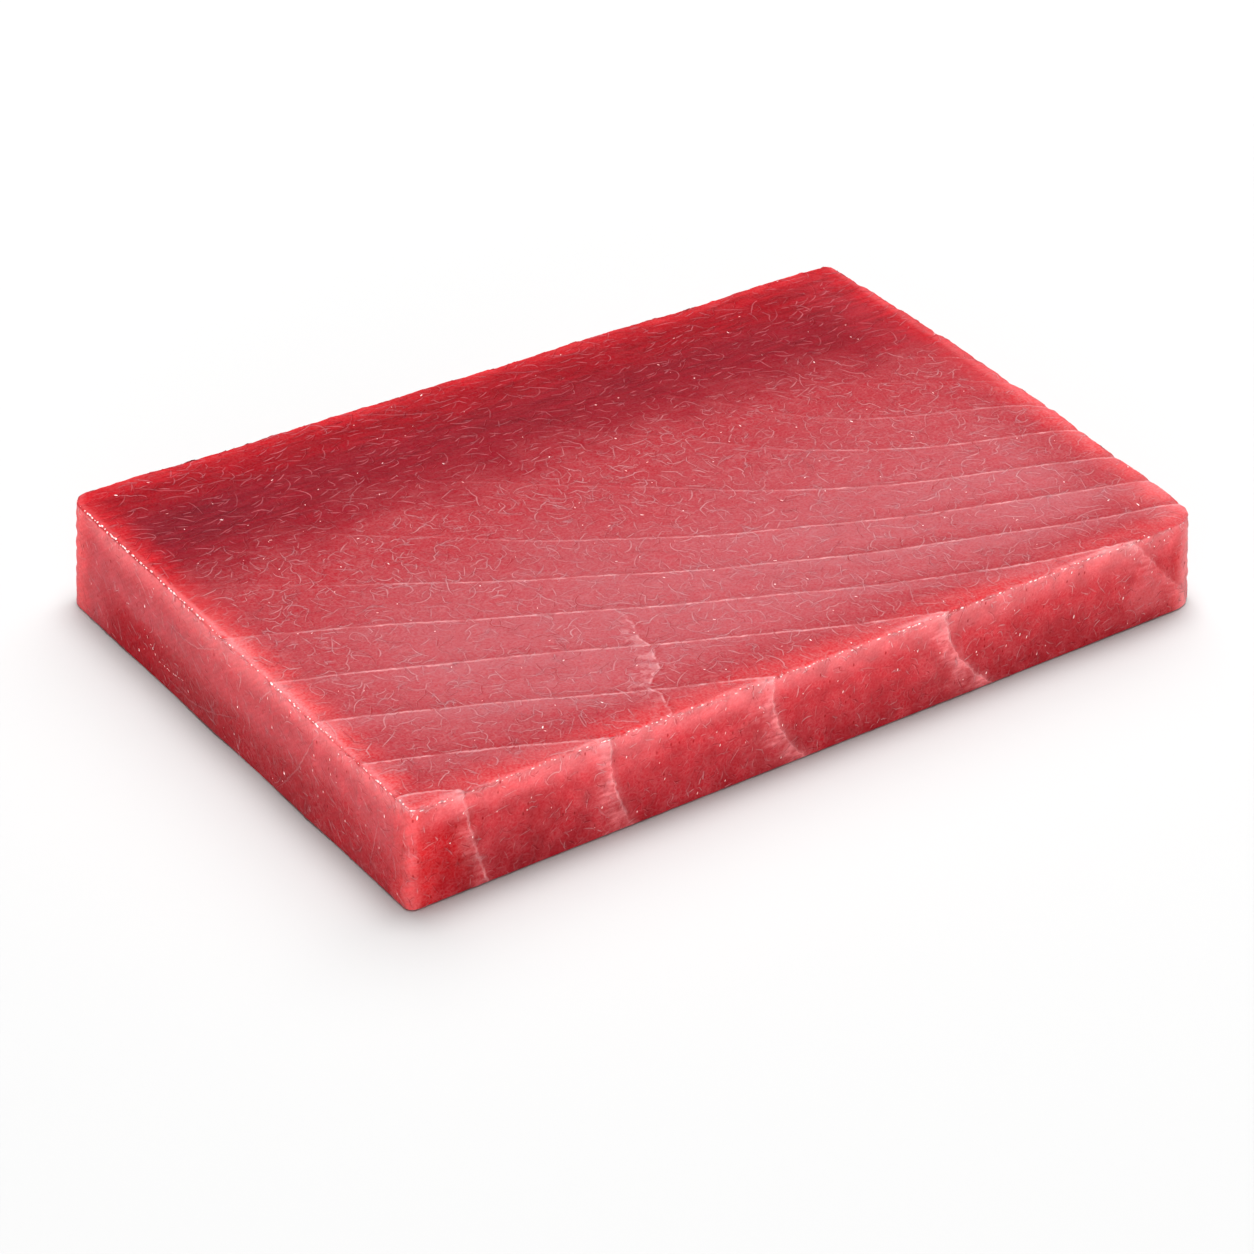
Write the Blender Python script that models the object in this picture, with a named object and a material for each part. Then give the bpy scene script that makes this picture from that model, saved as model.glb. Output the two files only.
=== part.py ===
"""A raw tuna loin, cut by hand into an even block and lying on its widest face.

Units are metres, +Z is up, and the origin is at the middle of the base. The long side runs along X, with
the left end at -X and the front long face at -Y. The shape is worked out in the block's own frame first:
x from the left end, y from the front face, z up from the base.

The muscle bands of the fish cross the block at a slant. Thin pale walls of connective tissue part them,
and each band stands a little proud of the next one where it ends at such a wall.
"""

import bmesh
import bpy
import numpy as np

NODE = "tuna_loin"

# The straight block that the hand-cut one departs from
LENGTH = 0.190
WIDTH = 0.130
THICKNESS = 0.022

# How far each corner lies from the straight block's: along X, Y and Z at the top, and X and Y at the base
TOP_CORNER_SHIFTS = {
    "front_left": (0.0009, -0.0010, 0.0006),
    "front_right": (-0.0008, 0.0008, -0.0012),
    "back_right": (0.0004, -0.0005, -0.0003),
    "back_left": (0.0006, 0.0008, 0.0017),
}
BASE_CORNER_SHIFTS = {
    "front_left": (-0.0001, -0.0011),
    "front_right": (0.0005, 0.0004),
    "back_right": (0.0003, -0.0005),
    "back_left": (-0.0013, 0.0007),
}
RIGHT_END_BOW = 0.0019
RIGHT_END_BOW_POWER = 4
FRONT_EDGE_SAG = 0.0004

# Rounding of the upright corners, seen from above, and of the long edges
CORNER_RADII = {"front_left": 0.0020, "front_right": 0.0058, "back_right": 0.0025, "back_left": 0.0040}
TOP_EDGE_RADIUS = 0.0014
BASE_EDGE_RADIUS = 0.0010

# Where each wall shows on the top face: four points (x, y) of one smooth curve, from its left end on
WALLS = (
    ((-0.0004, 0.0049), (0.0030, 0.0037), (0.0063, 0.0025), (0.0096, 0.0013)),
    ((0.0012, 0.0172), (0.0150, 0.0122), (0.0288, 0.0065), (0.0426, 0.0001)),
    ((0.0025, 0.0326), (0.0282, 0.0227), (0.0539, 0.0117), (0.0796, 0.0010)),
    ((0.0021, 0.0488), (0.0412, 0.0336), (0.0803, 0.0170), (0.1194, 0.0009)),
    ((0.0061, 0.0650), (0.0603, 0.0406), (0.1146, 0.0169), (0.1688, 0.0003)),
    ((0.0196, 0.0782), (0.0758, 0.0467), (0.1320, 0.0232), (0.1883, 0.0065)),
    ((0.0591, 0.0739), (0.1021, 0.0482), (0.1450, 0.0309), (0.1880, 0.0172)),
    ((0.1154, 0.0605), (0.1395, 0.0465), (0.1635, 0.0371), (0.1876, 0.0291)),
    ((0.1283, 0.0729), (0.1485, 0.0580), (0.1687, 0.0490), (0.1889, 0.0414)),
    ((0.1431, 0.0792), (0.1582, 0.0671), (0.1732, 0.0610), (0.1883, 0.0533)),
    ((0.1492, 0.0947), (0.1625, 0.0820), (0.1758, 0.0742), (0.1891, 0.0654)),
    ((0.1600, 0.1040), (0.1700, 0.0920), (0.1800, 0.0840), (0.1900, 0.0770)),
    ((0.1640, 0.1200), (0.1727, 0.1080), (0.1813, 0.0990), (0.1900, 0.0910)),
)

# The walls lean to the back and the right as they go down: by this much at the base, in this direction
WALL_LEAN = 0.0030
WALL_LEAN_AXIS = (0.39, 0.92)
WALL_LEAN_POWER = 1.8

# Height of a band's proud edge over the next band, and the share of it left in the smooth dark corner
BAND_STEP = 0.00035
BAND_RISE_POWER = 1.6
BAND_STEP_IN_DARK_CORNER = 0.25
DARK_CORNER_START = 0.40
DARK_CORNER_END = 0.85

# Shallow waves that a knife leaves across the faces
WAVE_HEIGHT = 0.00020
WAVE_LENGTH_ALONG = 0.046
WAVE_LENGTH_ACROSS = 0.037
WAVE_TURN_ALONG = 3.0
WAVE_TURN_ACROSS = 4.0

# Width of the mesh's cells, and how many of them cover the rounding of an edge
CELL = 0.0034
EDGE_CELLS = 2

# How near to a whole number a point's band counts as on the wall, and the step that measures its slope
ON_WALL = 0.001
NEAR_WALL = 0.02
SLOPE_PROBE = 1e-5
SNAP_PASSES = 2
SNAP_MARGIN = 0.0021

# Height under which a face counts as the flat base
FLAT = 1e-7

FLESH_COLOUR = (0.60, 0.085, 0.105, 1.0)
FLESH_ROUGHNESS = 0.32


def smooth_step(value, start, end):
    """0 before start, 1 after end, and an even curve between them."""
    t = np.clip((value - start) / (end - start), 0.0, 1.0)
    return t * t * (3.0 - 2.0 * t)


def wall_height(wall, x):
    """y of one wall at x: the cubic through its four points, and straight on past its ends."""
    points = np.array(wall)
    curve = np.polyfit(points[:, 0], points[:, 1], len(points) - 1)
    inside = np.clip(x, points[0, 0], points[-1, 0])
    return np.polyval(curve, inside) + np.polyval(np.polyder(curve), inside) * (x - inside)


def band_number(x, y, z):
    """Which band a point lies in: a whole number on each wall, rising towards the back and the right."""
    depth = np.clip(1.0 - z / THICKNESS, 0.0, 1.0)
    lean = WALL_LEAN * depth**WALL_LEAN_POWER
    x = x - lean * WALL_LEAN_AXIS[0]
    y = y - lean * WALL_LEAN_AXIS[1]
    rows = np.array([wall_height(wall, x) for wall in WALLS])
    below = np.clip((rows <= y).sum(axis=0), 1, len(WALLS) - 1)
    column = np.arange(len(x))
    low = rows[below - 1, column]
    high = rows[below, column]
    return below + (y - low) / (high - low)


def band_relief(x, y, z):
    """Height of the flesh over the plain block: it rises through each band and drops at the wall."""
    band = band_number(x, y, z)
    through = band - np.ceil(band - NEAR_WALL) + 1.0
    rise = np.clip(through, 0.0, 1.0) ** BAND_RISE_POWER
    towards_dark_corner = (y / WIDTH + 1.0 - x / LENGTH) / 2.0
    dark = smooth_step(towards_dark_corner, DARK_CORNER_START, DARK_CORNER_END)
    step = BAND_STEP * (1.0 + (BAND_STEP_IN_DARK_CORNER - 1.0) * dark)
    along = np.sin(2.0 * np.pi * x / WAVE_LENGTH_ALONG + WAVE_TURN_ALONG * y / WIDTH)
    across = np.cos(2.0 * np.pi * y / WAVE_LENGTH_ACROSS + WAVE_TURN_ACROSS * x / LENGTH)
    return step * (rise - 0.5) + WAVE_HEIGHT * along * across


def cell_edges(length, near_radius, far_radius):
    """Places of the mesh's lines along one side: close together on the rounded edges, even between them."""
    near = np.linspace(0.0, near_radius, EDGE_CELLS + 1)
    far = np.linspace(length - far_radius, length, EDGE_CELLS + 1)
    middle = np.linspace(near[-1], far[0], round((far[0] - near[-1]) / CELL) + 1)
    return np.concatenate([near, middle[1:-1], far])


def lined_box(lines):
    """A closed box cut along the given places on its three axes, as a bmesh and its points' places."""
    bm = bmesh.new()
    bmesh.ops.create_cube(bm, size=1.0)
    bmesh.ops.translate(bm, verts=bm.verts, vec=(0.5, 0.5, 0.5))
    for axis, places in enumerate(lines):
        along = [e for e in bm.edges if abs(e.verts[0].co[axis] - e.verts[1].co[axis]) > 0.5]
        bmesh.ops.subdivide_edges(bm, edges=along, cuts=len(places) - 2, use_grid_fill=True)
    share = np.array([v.co for v in bm.verts])
    points = np.empty_like(share)
    for axis, places in enumerate(lines):
        points[:, axis] = places[np.rint(share[:, axis] * (len(places) - 1)).astype(int)]
    return bm, points


def snap_to_walls(points, across):
    """Slides the points nearest to each wall onto it, along Y where across is true and along X elsewhere."""
    for axis, chosen in ((1, across), (0, ~across)):
        step = np.zeros(3)
        step[axis] = SLOPE_PROBE
        for _ in range(SNAP_PASSES):
            band = band_number(*points.T)
            slope = (band_number(*(points + step).T) - band) / SLOPE_PROBE
            slide = (np.rint(band) - band) / slope
            near = chosen & (np.abs(slide) < CELL / 2.0) & (slope > 0.0)
            points[near, axis] += slide[near]
    return points


def round_corners(points):
    """Rounds the upright corners, seen from above, and gives each point's way out and distance inwards."""
    x, y = points[:, 0].copy(), points[:, 1].copy()
    right, back = x > LENGTH / 2.0, y > WIDTH / 2.0
    side_x = np.where(right, LENGTH - x, x)
    side_y = np.where(back, WIDTH - y, y)
    inset = np.minimum(side_x, side_y)
    sign_x, sign_y = np.where(right, 1.0, -1.0), np.where(back, 1.0, -1.0)
    out = np.stack([sign_x * (side_x <= side_y), sign_y * (side_y < side_x)], axis=1)
    for name, radius in CORNER_RADII.items():
        here = (right == name.endswith("right")) & (back == name.startswith("back"))
        here &= (side_x < radius) & (side_y < radius)
        reach = np.stack([radius - side_x[here], radius - side_y[here]], axis=1)
        long = np.hypot(reach[:, 0], reach[:, 1])
        turned = reach * (reach.max(axis=1) / long)[:, None]
        signs = np.stack([sign_x[here], sign_y[here]], axis=1)
        points[here, :2] += signs * (turned - reach)
        out[here] = signs * reach / long[:, None]
    return out, inset


def round_edges(points, out, inset):
    """Rounds the long edges over and under, and gives each point's way out in space."""
    normal = np.zeros_like(points)
    z = points[:, 2].copy()
    for radius, depth, up in ((TOP_EDGE_RADIUS, THICKNESS - z, 1.0), (BASE_EDGE_RADIUS, z, -1.0)):
        nearer = (z > THICKNESS / 2.0) == (up > 0.0)
        across = np.maximum(radius - inset, 0.0)
        down = np.maximum(radius - depth, 0.0)
        long = np.maximum(np.hypot(across, down), 1e-9)
        on_edge = nearer & (across > 0.0) & (down > 0.0)
        level = np.where(on_edge, radius * across / long, across)
        rise = np.where(on_edge, radius * down / long, down)
        points[nearer, :2] += (out * (level - across)[:, None])[nearer]
        points[nearer, 2] += (up * (rise - down))[nearer]
        flat = nearer & (down > 0.0)
        wall = nearer & ~flat
        normal[wall, :2] = out[wall]
        normal[flat, :2] = out[flat] * (across / long)[flat, None]
        normal[flat, 2] = up * (down / long)[flat]
    return normal


def uneven(points):
    """Moves the straight block's points to the hand-cut one's: its corners, its bowed end and its sagging edge."""
    u, v, w = points[:, 0] / LENGTH, points[:, 1] / WIDTH, points[:, 2] / THICKNESS
    shares = {
        "front_left": (1.0 - u) * (1.0 - v),
        "front_right": u * (1.0 - v),
        "back_right": u * v,
        "back_left": (1.0 - u) * v,
    }
    for name, share in shares.items():
        top, base = TOP_CORNER_SHIFTS[name], BASE_CORNER_SHIFTS[name]
        points[:, 0] += share * (top[0] * w + base[0] * (1.0 - w))
        points[:, 1] += share * (top[1] * w + base[1] * (1.0 - w))
        points[:, 2] += share * top[2] * w
    points[:, 0] += RIGHT_END_BOW * np.sin(np.pi * v) * u**RIGHT_END_BOW_POWER
    points[:, 2] -= FRONT_EDGE_SAG * np.sin(np.pi * u) * (1.0 - v) * w
    return points


def split_along_walls(bm, on_wall):
    """Cuts each four-sided cell in two, along the wall where one crosses it from corner to corner."""
    for face in [f for f in bm.faces if len(f.verts) == 4]:
        a, b, c, d = face.verts
        if on_wall[b.index] and on_wall[d.index] and not (on_wall[a.index] and on_wall[c.index]):
            bmesh.utils.face_split(face, b, d)
        else:
            bmesh.utils.face_split(face, a, c)


def flesh_material():
    """Wet red flesh."""
    material = bpy.data.materials.new("raw_flesh")
    material.use_nodes = True
    shader = material.node_tree.nodes["Principled BSDF"]
    shader.inputs["Base Color"].default_value = FLESH_COLOUR
    shader.inputs["Roughness"].default_value = FLESH_ROUGHNESS
    shader.inputs["Metallic"].default_value = 0.0
    return material


def tuna_loin():
    """The whole block as one closed mesh, with its base's middle at the origin."""
    bm, points = lined_box(
        (
            cell_edges(LENGTH, TOP_EDGE_RADIUS, TOP_EDGE_RADIUS),
            cell_edges(WIDTH, TOP_EDGE_RADIUS, TOP_EDGE_RADIUS),
            cell_edges(THICKNESS, BASE_EDGE_RADIUS, TOP_EDGE_RADIUS),
        )
    )
    x, y, z = points.T
    within_x = (x > SNAP_MARGIN) & (x < LENGTH - SNAP_MARGIN)
    within_y = (y > SNAP_MARGIN) & (y < WIDTH - SNAP_MARGIN)
    slides = (z > SNAP_MARGIN) & (within_x | within_y)
    points[slides] = snap_to_walls(points[slides], within_y[slides])
    band = band_number(*points.T)
    on_wall = np.abs(band - np.rint(band)) < ON_WALL

    relief = band_relief(*points.T)
    out, inset = round_corners(points)
    normal = round_edges(points, out, inset)
    normal[:, 2] = np.maximum(normal[:, 2], 0.0)
    normal *= smooth_step(points[:, 2], 0.0, BASE_EDGE_RADIUS)[:, None]
    points = uneven(points + normal * relief[:, None])
    points[:, :2] -= (points[:, :2].max(axis=0) + points[:, :2].min(axis=0)) / 2.0

    for vertex, place in zip(bm.verts, points):
        vertex.co = place
    bm.verts.index_update()
    split_along_walls(bm, on_wall)
    base = [f for f in bm.faces if all(v.co.z < FLAT for v in f.verts)]
    bmesh.ops.dissolve_faces(bm, faces=base, use_verts=True)
    bmesh.ops.recalc_face_normals(bm, faces=bm.faces)

    mesh = bpy.data.meshes.new(NODE)
    bm.to_mesh(mesh)
    bm.free()
    mesh.shade_smooth()
    mesh.materials.append(flesh_material())
    return bpy.data.objects.new(NODE, mesh)


for leftover in list(bpy.data.objects):
    bpy.data.objects.remove(leftover)
bpy.context.collection.objects.link(tuna_loin())
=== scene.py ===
"""Dresses the raw tuna loin: its cut flesh, the fine threads in it, the beads of juice with their painted
glints, and the studio.

Lengths are metres, except where a name or a comment says millimetres. The block's own frame has its origin
at the front left corner of the base, with x along the long front face, y towards the back and z up. The row
frame, which every finished piece is in, has its origin at the middle of the base.
"""

import logging
import math
import random
from dataclasses import dataclass, field, replace
from enum import Enum

import bpy
import numpy as np
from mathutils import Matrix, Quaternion, Vector, noise
from mathutils.bvhtree import BVHTree


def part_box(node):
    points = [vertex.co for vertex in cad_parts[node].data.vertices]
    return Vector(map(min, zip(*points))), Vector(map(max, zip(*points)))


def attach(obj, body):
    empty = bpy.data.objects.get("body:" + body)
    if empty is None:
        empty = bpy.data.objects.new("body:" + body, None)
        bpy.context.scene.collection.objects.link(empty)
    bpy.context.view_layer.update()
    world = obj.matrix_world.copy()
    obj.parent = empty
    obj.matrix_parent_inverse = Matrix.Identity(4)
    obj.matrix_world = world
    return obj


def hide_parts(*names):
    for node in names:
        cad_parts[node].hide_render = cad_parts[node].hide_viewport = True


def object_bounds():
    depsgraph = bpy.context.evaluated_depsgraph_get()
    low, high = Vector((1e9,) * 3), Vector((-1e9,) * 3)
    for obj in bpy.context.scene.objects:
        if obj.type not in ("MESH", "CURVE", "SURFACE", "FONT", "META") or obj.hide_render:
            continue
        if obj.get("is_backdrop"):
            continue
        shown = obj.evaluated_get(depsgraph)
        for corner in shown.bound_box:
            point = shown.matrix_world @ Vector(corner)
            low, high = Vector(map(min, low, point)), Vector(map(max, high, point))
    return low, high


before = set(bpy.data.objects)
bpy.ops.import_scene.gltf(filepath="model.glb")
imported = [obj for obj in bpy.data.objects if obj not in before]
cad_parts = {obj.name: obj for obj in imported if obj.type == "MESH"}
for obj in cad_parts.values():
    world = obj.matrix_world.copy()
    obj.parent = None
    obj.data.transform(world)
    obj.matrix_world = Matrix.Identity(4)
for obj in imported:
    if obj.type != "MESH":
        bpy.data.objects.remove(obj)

CAD_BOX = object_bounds()
BODY = "root"
NODE = "tuna_loin"
MM = 0.001

log = logging.getLogger("tuna_loin")

Colour = tuple[float, float, float]


class Stroke(Enum):
    """What a fine line on the flesh is: a pale thread of tissue, or a crease of painted shade beside one."""

    THREAD = 1.0
    # a crease: a dark line of painted shade beside a thread
    CREASE = -1.0


class Course(Enum):
    """How a fine line runs: curling with kinks, short and curling, streaked along, or combed out straight."""

    CURL = "curl"
    SQUIGGLE = "squiggle"
    STREAK = "streak"
    FIBRE = "fibre"
    WISP = "wisp"


class Operation(Enum):
    """The node operations that this file's materials use."""

    ADD = "ADD"
    SUBTRACT = "SUBTRACT"
    MULTIPLY = "MULTIPLY"
    DIVIDE = "DIVIDE"
    POWER = "POWER"
    ABSOLUTE = "ABSOLUTE"
    ROUND = "ROUND"
    MINIMUM = "MINIMUM"
    MAXIMUM = "MAXIMUM"
    GREATER = "GREATER_THAN"


def smooth_step(value: np.ndarray, start: float, end: float) -> np.ndarray:
    """Rises evenly from 0 to 1.

    Args:
        value: The numbers to weigh.
        start: Where the rise begins.
        end: Where it is complete.

    Returns:
        0 before start, 1 after end, and a smooth curve between them.
    """
    t = np.clip((value - start) / (end - start), 0.0, 1.0)
    return t * t * (3.0 - 2.0 * t)


def roughness_at(points: np.ndarray, size: float, turn: float) -> np.ndarray:
    """Smooth random heights in space.

    Args:
        points: Places, one a row.
        size: Length over which the heights change.
        turn: Shifts the pattern, so that two layers differ.

    Returns:
        One height a place, from about -1 to 1.
    """
    shifted = points / size + turn
    return np.array([noise.noise(place) for place in shifted.tolist()])


def place_between(rows: list[np.ndarray], values: np.ndarray) -> np.ndarray:
    """Where each value lies among rising rows of limits.

    Args:
        rows: The limits for each value, from the lowest up.
        values: The values.

    Returns:
        The number of limits below each value, with the share of the way to the next.
    """
    limits = np.array(rows)
    below = np.clip((limits <= values).sum(axis=0), 1, len(limits) - 1)
    column = np.arange(len(values))
    low = limits[below - 1, column]
    return below + (values - low) / (limits[below, column] - low)


@dataclass(frozen=True)
class Cut:
    """The block's form: an even block, then how the knife and the muscle depart from it."""

    length: float = 0.190
    width: float = 0.130
    thickness: float = 0.022
    top_shifts: tuple = ((0.0009, -0.0010, 0.0006), (-0.0008, 0.0008, -0.0012),
                         (0.0004, -0.0005, -0.0003), (0.0006, 0.0008, 0.0017))
    base_shifts: tuple = ((-0.0001, -0.0011), (0.0005, 0.0004), (0.0003, -0.0005), (-0.0013, 0.0007))
    corner_radii: tuple = (0.0020, 0.0058, 0.0025, 0.0040)
    right_end_bow: float = 0.0019
    right_end_bow_power: int = 4
    front_edge_sag: float = 0.0004
    top_radius: float = 0.0009
    base_radius: float = 0.0010
    walls: tuple = (
        ((-0.0004, 0.0049), (0.0035, 0.0040), (0.0073, 0.0026), (0.0111, 0.0003)),
        ((0.0012, 0.0172), (0.0150, 0.0122), (0.0288, 0.0065), (0.0441, 0.0000)),
        ((0.0025, 0.0326), (0.0282, 0.0227), (0.0539, 0.0117), (0.0818, 0.0003)),
        ((0.0021, 0.0488), (0.0412, 0.0336), (0.0803, 0.0170), (0.1240, 0.0002)),
        ((0.0061, 0.0650), (0.0603, 0.0406), (0.1146, 0.0169), (0.1722, 0.0000)),
        ((0.0196, 0.0782), (0.0758, 0.0467), (0.1320, 0.0232), (0.1883, 0.0065)),
        ((0.0591, 0.0739), (0.1021, 0.0482), (0.1450, 0.0309), (0.1880, 0.0172)),
        ((0.1154, 0.0605), (0.1395, 0.0465), (0.1635, 0.0371), (0.1876, 0.0291)),
        ((0.1283, 0.0729), (0.1485, 0.0580), (0.1687, 0.0490), (0.1889, 0.0414)),
        ((0.1431, 0.0792), (0.1582, 0.0671), (0.1732, 0.0610), (0.1883, 0.0533)),
        ((0.1492, 0.0947), (0.1625, 0.0820), (0.1758, 0.0742), (0.1891, 0.0654)),
        ((0.1600, 0.1040), (0.1700, 0.0920), (0.1800, 0.0840), (0.1900, 0.0770)),
        ((0.1640, 0.1200), (0.1727, 0.1080), (0.1813, 0.0990), (0.1900, 0.0910)),
    )
    front_heights: tuple = (0.0, 0.0045, 0.0100, 0.0155, 0.0220)
    front_walls: tuple = (
        (0.0171, 0.0158, 0.0141, 0.0127, 0.0112),
        (0.0496, 0.0479, 0.0455, 0.0448, 0.0442),
        (0.0904, 0.0868, 0.0837, 0.0826, 0.0820),
        (0.1364, 0.1318, 0.1276, 0.1251, 0.1243),
        (0.1900, 0.1860, 0.1813, 0.1772, 0.1722),
    )
    front_reach: tuple = (0.0035, 0.0006)
    front_drop: tuple = (0.0219, 0.0208)
    wall_lean: float = 0.0030
    wall_lean_axis: tuple = (0.39, 0.92)
    wall_lean_power: float = 1.8
    band_step: float = 0.00035
    band_rise_power: float = 1.6
    step_in_dark_corner: float = 0.25
    dark_corner: tuple = (0.40, 0.85)
    wave_height: float = 0.00020
    wave_lengths: tuple = (0.046, 0.037)
    wave_turns: tuple = (3.0, 4.0)

    def wall_height(self, wall: tuple, x: np.ndarray) -> np.ndarray:
        """Where one wall of tissue crosses the top face.

        Args:
            wall: Four points of the wall's line.
            x: Places along the block.

        Returns:
            The wall's y at each x, straight on past its ends.
        """
        points = np.array(wall)
        curve = np.polyfit(points[:, 0], points[:, 1], len(points) - 1)
        inside = np.clip(x, points[0, 0], points[-1, 0])
        return np.polyval(curve, inside) + np.polyval(np.polyder(curve), inside) * (x - inside)

    def share_of_front(self, points: np.ndarray) -> np.ndarray:
        """How much each point belongs to the front face, from 0 to 1."""
        return smooth_step(points[:, 1], *self.front_reach) * smooth_step(points[:, 2], *self.front_drop)

    def band(self, points: np.ndarray) -> np.ndarray:
        """Which muscle band each point lies in.

        Args:
            points: Places in the block's frame, one a row.

        Returns:
            A number that is whole on each wall and rises towards the back and the right.
        """
        inner = self.inner_band(points)
        return inner + (self.front_band(points) - inner) * self.share_of_front(points)

    def front_band(self, points: np.ndarray) -> np.ndarray:
        """The band number on the front face, from the walls' own lines there."""
        rows = [np.interp(points[:, 2], self.front_heights, wall) for wall in self.front_walls]
        return place_between(rows, points[:, 0])

    def inner_band(self, points: np.ndarray) -> np.ndarray:
        """The band number everywhere else, from the walls' lines on the top face.

        Args:
            points: Places in the block's frame, one a row.

        Returns:
            The band number at each place, with the walls leaning over as they go down.
        """
        depth = np.clip(1.0 - points[:, 2] / self.thickness, 0.0, 1.0)
        lean = self.wall_lean * depth**self.wall_lean_power
        x = points[:, 0] - lean * self.wall_lean_axis[0]
        y = points[:, 1] - lean * self.wall_lean_axis[1]
        return place_between([self.wall_height(wall, x) for wall in self.walls], y)

    def band_relief(self, points: np.ndarray) -> np.ndarray:
        """Height of the flesh over the plain block.

        Args:
            points: Places in the block's frame, one a row.

        Returns:
            A rise through each band, which drops at its wall, and the knife's shallow waves.
        """
        x, y = points[:, 0], points[:, 1]
        band = self.band(points)
        through = band - np.ceil(band - 0.02) + 1.0
        rise = np.clip(through, 0.0, 1.0) ** self.band_rise_power
        dark = smooth_step((y / self.width + 1.0 - x / self.length) / 2.0, *self.dark_corner)
        step = self.band_step * (1.0 + (self.step_in_dark_corner - 1.0) * dark)
        along = np.sin(2.0 * np.pi * x / self.wave_lengths[0] + self.wave_turns[0] * y / self.width)
        across = np.cos(2.0 * np.pi * y / self.wave_lengths[1] + self.wave_turns[1] * x / self.length)
        return step * (rise - 0.5) + self.wave_height * along * across

    def round_corners(self, points: np.ndarray) -> tuple[np.ndarray, np.ndarray]:
        """Rounds the upright corners, seen from above.

        Args:
            points: Places in the block's frame, which are moved.

        Returns:
            Each point's way out in plan, and its distance inwards from the nearest side.
        """
        x, y = points[:, 0].copy(), points[:, 1].copy()
        right, back = x > self.length / 2.0, y > self.width / 2.0
        side_x = np.where(right, self.length - x, x)
        side_y = np.where(back, self.width - y, y)
        sign_x, sign_y = np.where(right, 1.0, -1.0), np.where(back, 1.0, -1.0)
        out = np.stack([sign_x * (side_x <= side_y), sign_y * (side_y < side_x)], axis=1)
        corners = ((False, False), (True, False), (True, True), (False, True))
        for radius, (at_right, at_back) in zip(self.corner_radii, corners):
            here = (right == at_right) & (back == at_back) & (side_x < radius) & (side_y < radius)
            reach = np.stack([radius - side_x[here], radius - side_y[here]], axis=1)
            long = np.hypot(reach[:, 0], reach[:, 1])
            signs = np.stack([sign_x[here], sign_y[here]], axis=1)
            points[here, :2] += signs * reach * (reach.max(axis=1) / long - 1.0)[:, None]
            out[here] = signs * reach / long[:, None]
        return out, np.minimum(side_x, side_y)

    def round_edges(self, points: np.ndarray, out: np.ndarray, inset: np.ndarray) -> np.ndarray:
        """Rounds the long edges over and under.

        Args:
            points: Places in the block's frame, which are moved.
            out: Each point's way out in plan.
            inset: Each point's distance inwards from the nearest side.

        Returns:
            Each point's way out in space.
        """
        normal = np.zeros_like(points)
        z = points[:, 2].copy()
        for radius, depth, up in ((self.top_radius, self.thickness - z, 1.0), (self.base_radius, z, -1.0)):
            nearer = (z > self.thickness / 2.0) == (up > 0.0)
            across = np.maximum(radius - inset, 0.0)
            down = np.maximum(radius - depth, 0.0)
            long = np.maximum(np.hypot(across, down), 1e-9)
            on_edge = nearer & (across > 0.0) & (down > 0.0)
            level = np.where(on_edge, radius * across / long, across)
            rise = np.where(on_edge, radius * down / long, down)
            points[nearer, :2] += (out * (level - across)[:, None])[nearer]
            points[nearer, 2] += (up * (rise - down))[nearer]
            flat = nearer & (down > 0.0)
            side = nearer & ~flat
            normal[side, :2] = out[side]
            normal[flat, :2] = out[flat] * (across / long)[flat, None]
            normal[flat, 2] = up * (down / long)[flat]
        return normal

    def uneven(self, points: np.ndarray) -> np.ndarray:
        """Moves the straight block's points to the hand-cut one's.

        Args:
            points: Places in the block's frame, which are moved.

        Returns:
            The same places, with the block's uneven corners, bowed end and sagging edge.
        """
        u, v, w = points[:, 0] / self.length, points[:, 1] / self.width, points[:, 2] / self.thickness
        shares = ((1.0 - u) * (1.0 - v), u * (1.0 - v), u * v, (1.0 - u) * v)
        for share, top, base in zip(shares, self.top_shifts, self.base_shifts):
            points[:, 0] += share * (top[0] * w + base[0] * (1.0 - w))
            points[:, 1] += share * (top[1] * w + base[1] * (1.0 - w))
            points[:, 2] += share * top[2] * w
        points[:, 0] += self.right_end_bow * np.sin(np.pi * v) * u**self.right_end_bow_power
        points[:, 2] -= self.front_edge_sag * np.sin(np.pi * u) * (1.0 - v) * w
        return points


@dataclass(frozen=True)
class Vein:
    """A pale seam of tissue that crosses the bands on the top face, as points from back to front."""

    line: tuple = (
        (0.0704, 0.0361), (0.0701, 0.0302), (0.0682, 0.0253), (0.0685, 0.0216), (0.0670, 0.0178),
        (0.0660, 0.0148), (0.0621, 0.0123), (0.0601, 0.0104), (0.0607, 0.0073), (0.0595, 0.0036),
        (0.0582, 0.0000),
    )
    far: float = 0.05

    def distance(self, points: np.ndarray) -> np.ndarray:
        """How far each point lies from the seam.

        Args:
            points: Places in the block's frame, one a row.

        Returns:
            The distance in plan, negative on the seam's left side.
        """
        best = np.full(len(points), self.far)
        side = np.ones(len(points))
        for start, end in zip(self.line, self.line[1:]):
            a, b = np.array(start), np.array(end)
            run = b - a
            share = np.clip((points[:, :2] - a) @ run / (run @ run), 0.0, 1.0)
            gap = points[:, :2] - (a + share[:, None] * run)
            away = np.hypot(gap[:, 0], gap[:, 1])
            nearer = away < best
            best[nearer] = away[nearer]
            side[nearer] = np.sign(run[0] * gap[nearer, 1] - run[1] * gap[nearer, 0])
        return best * side


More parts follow.
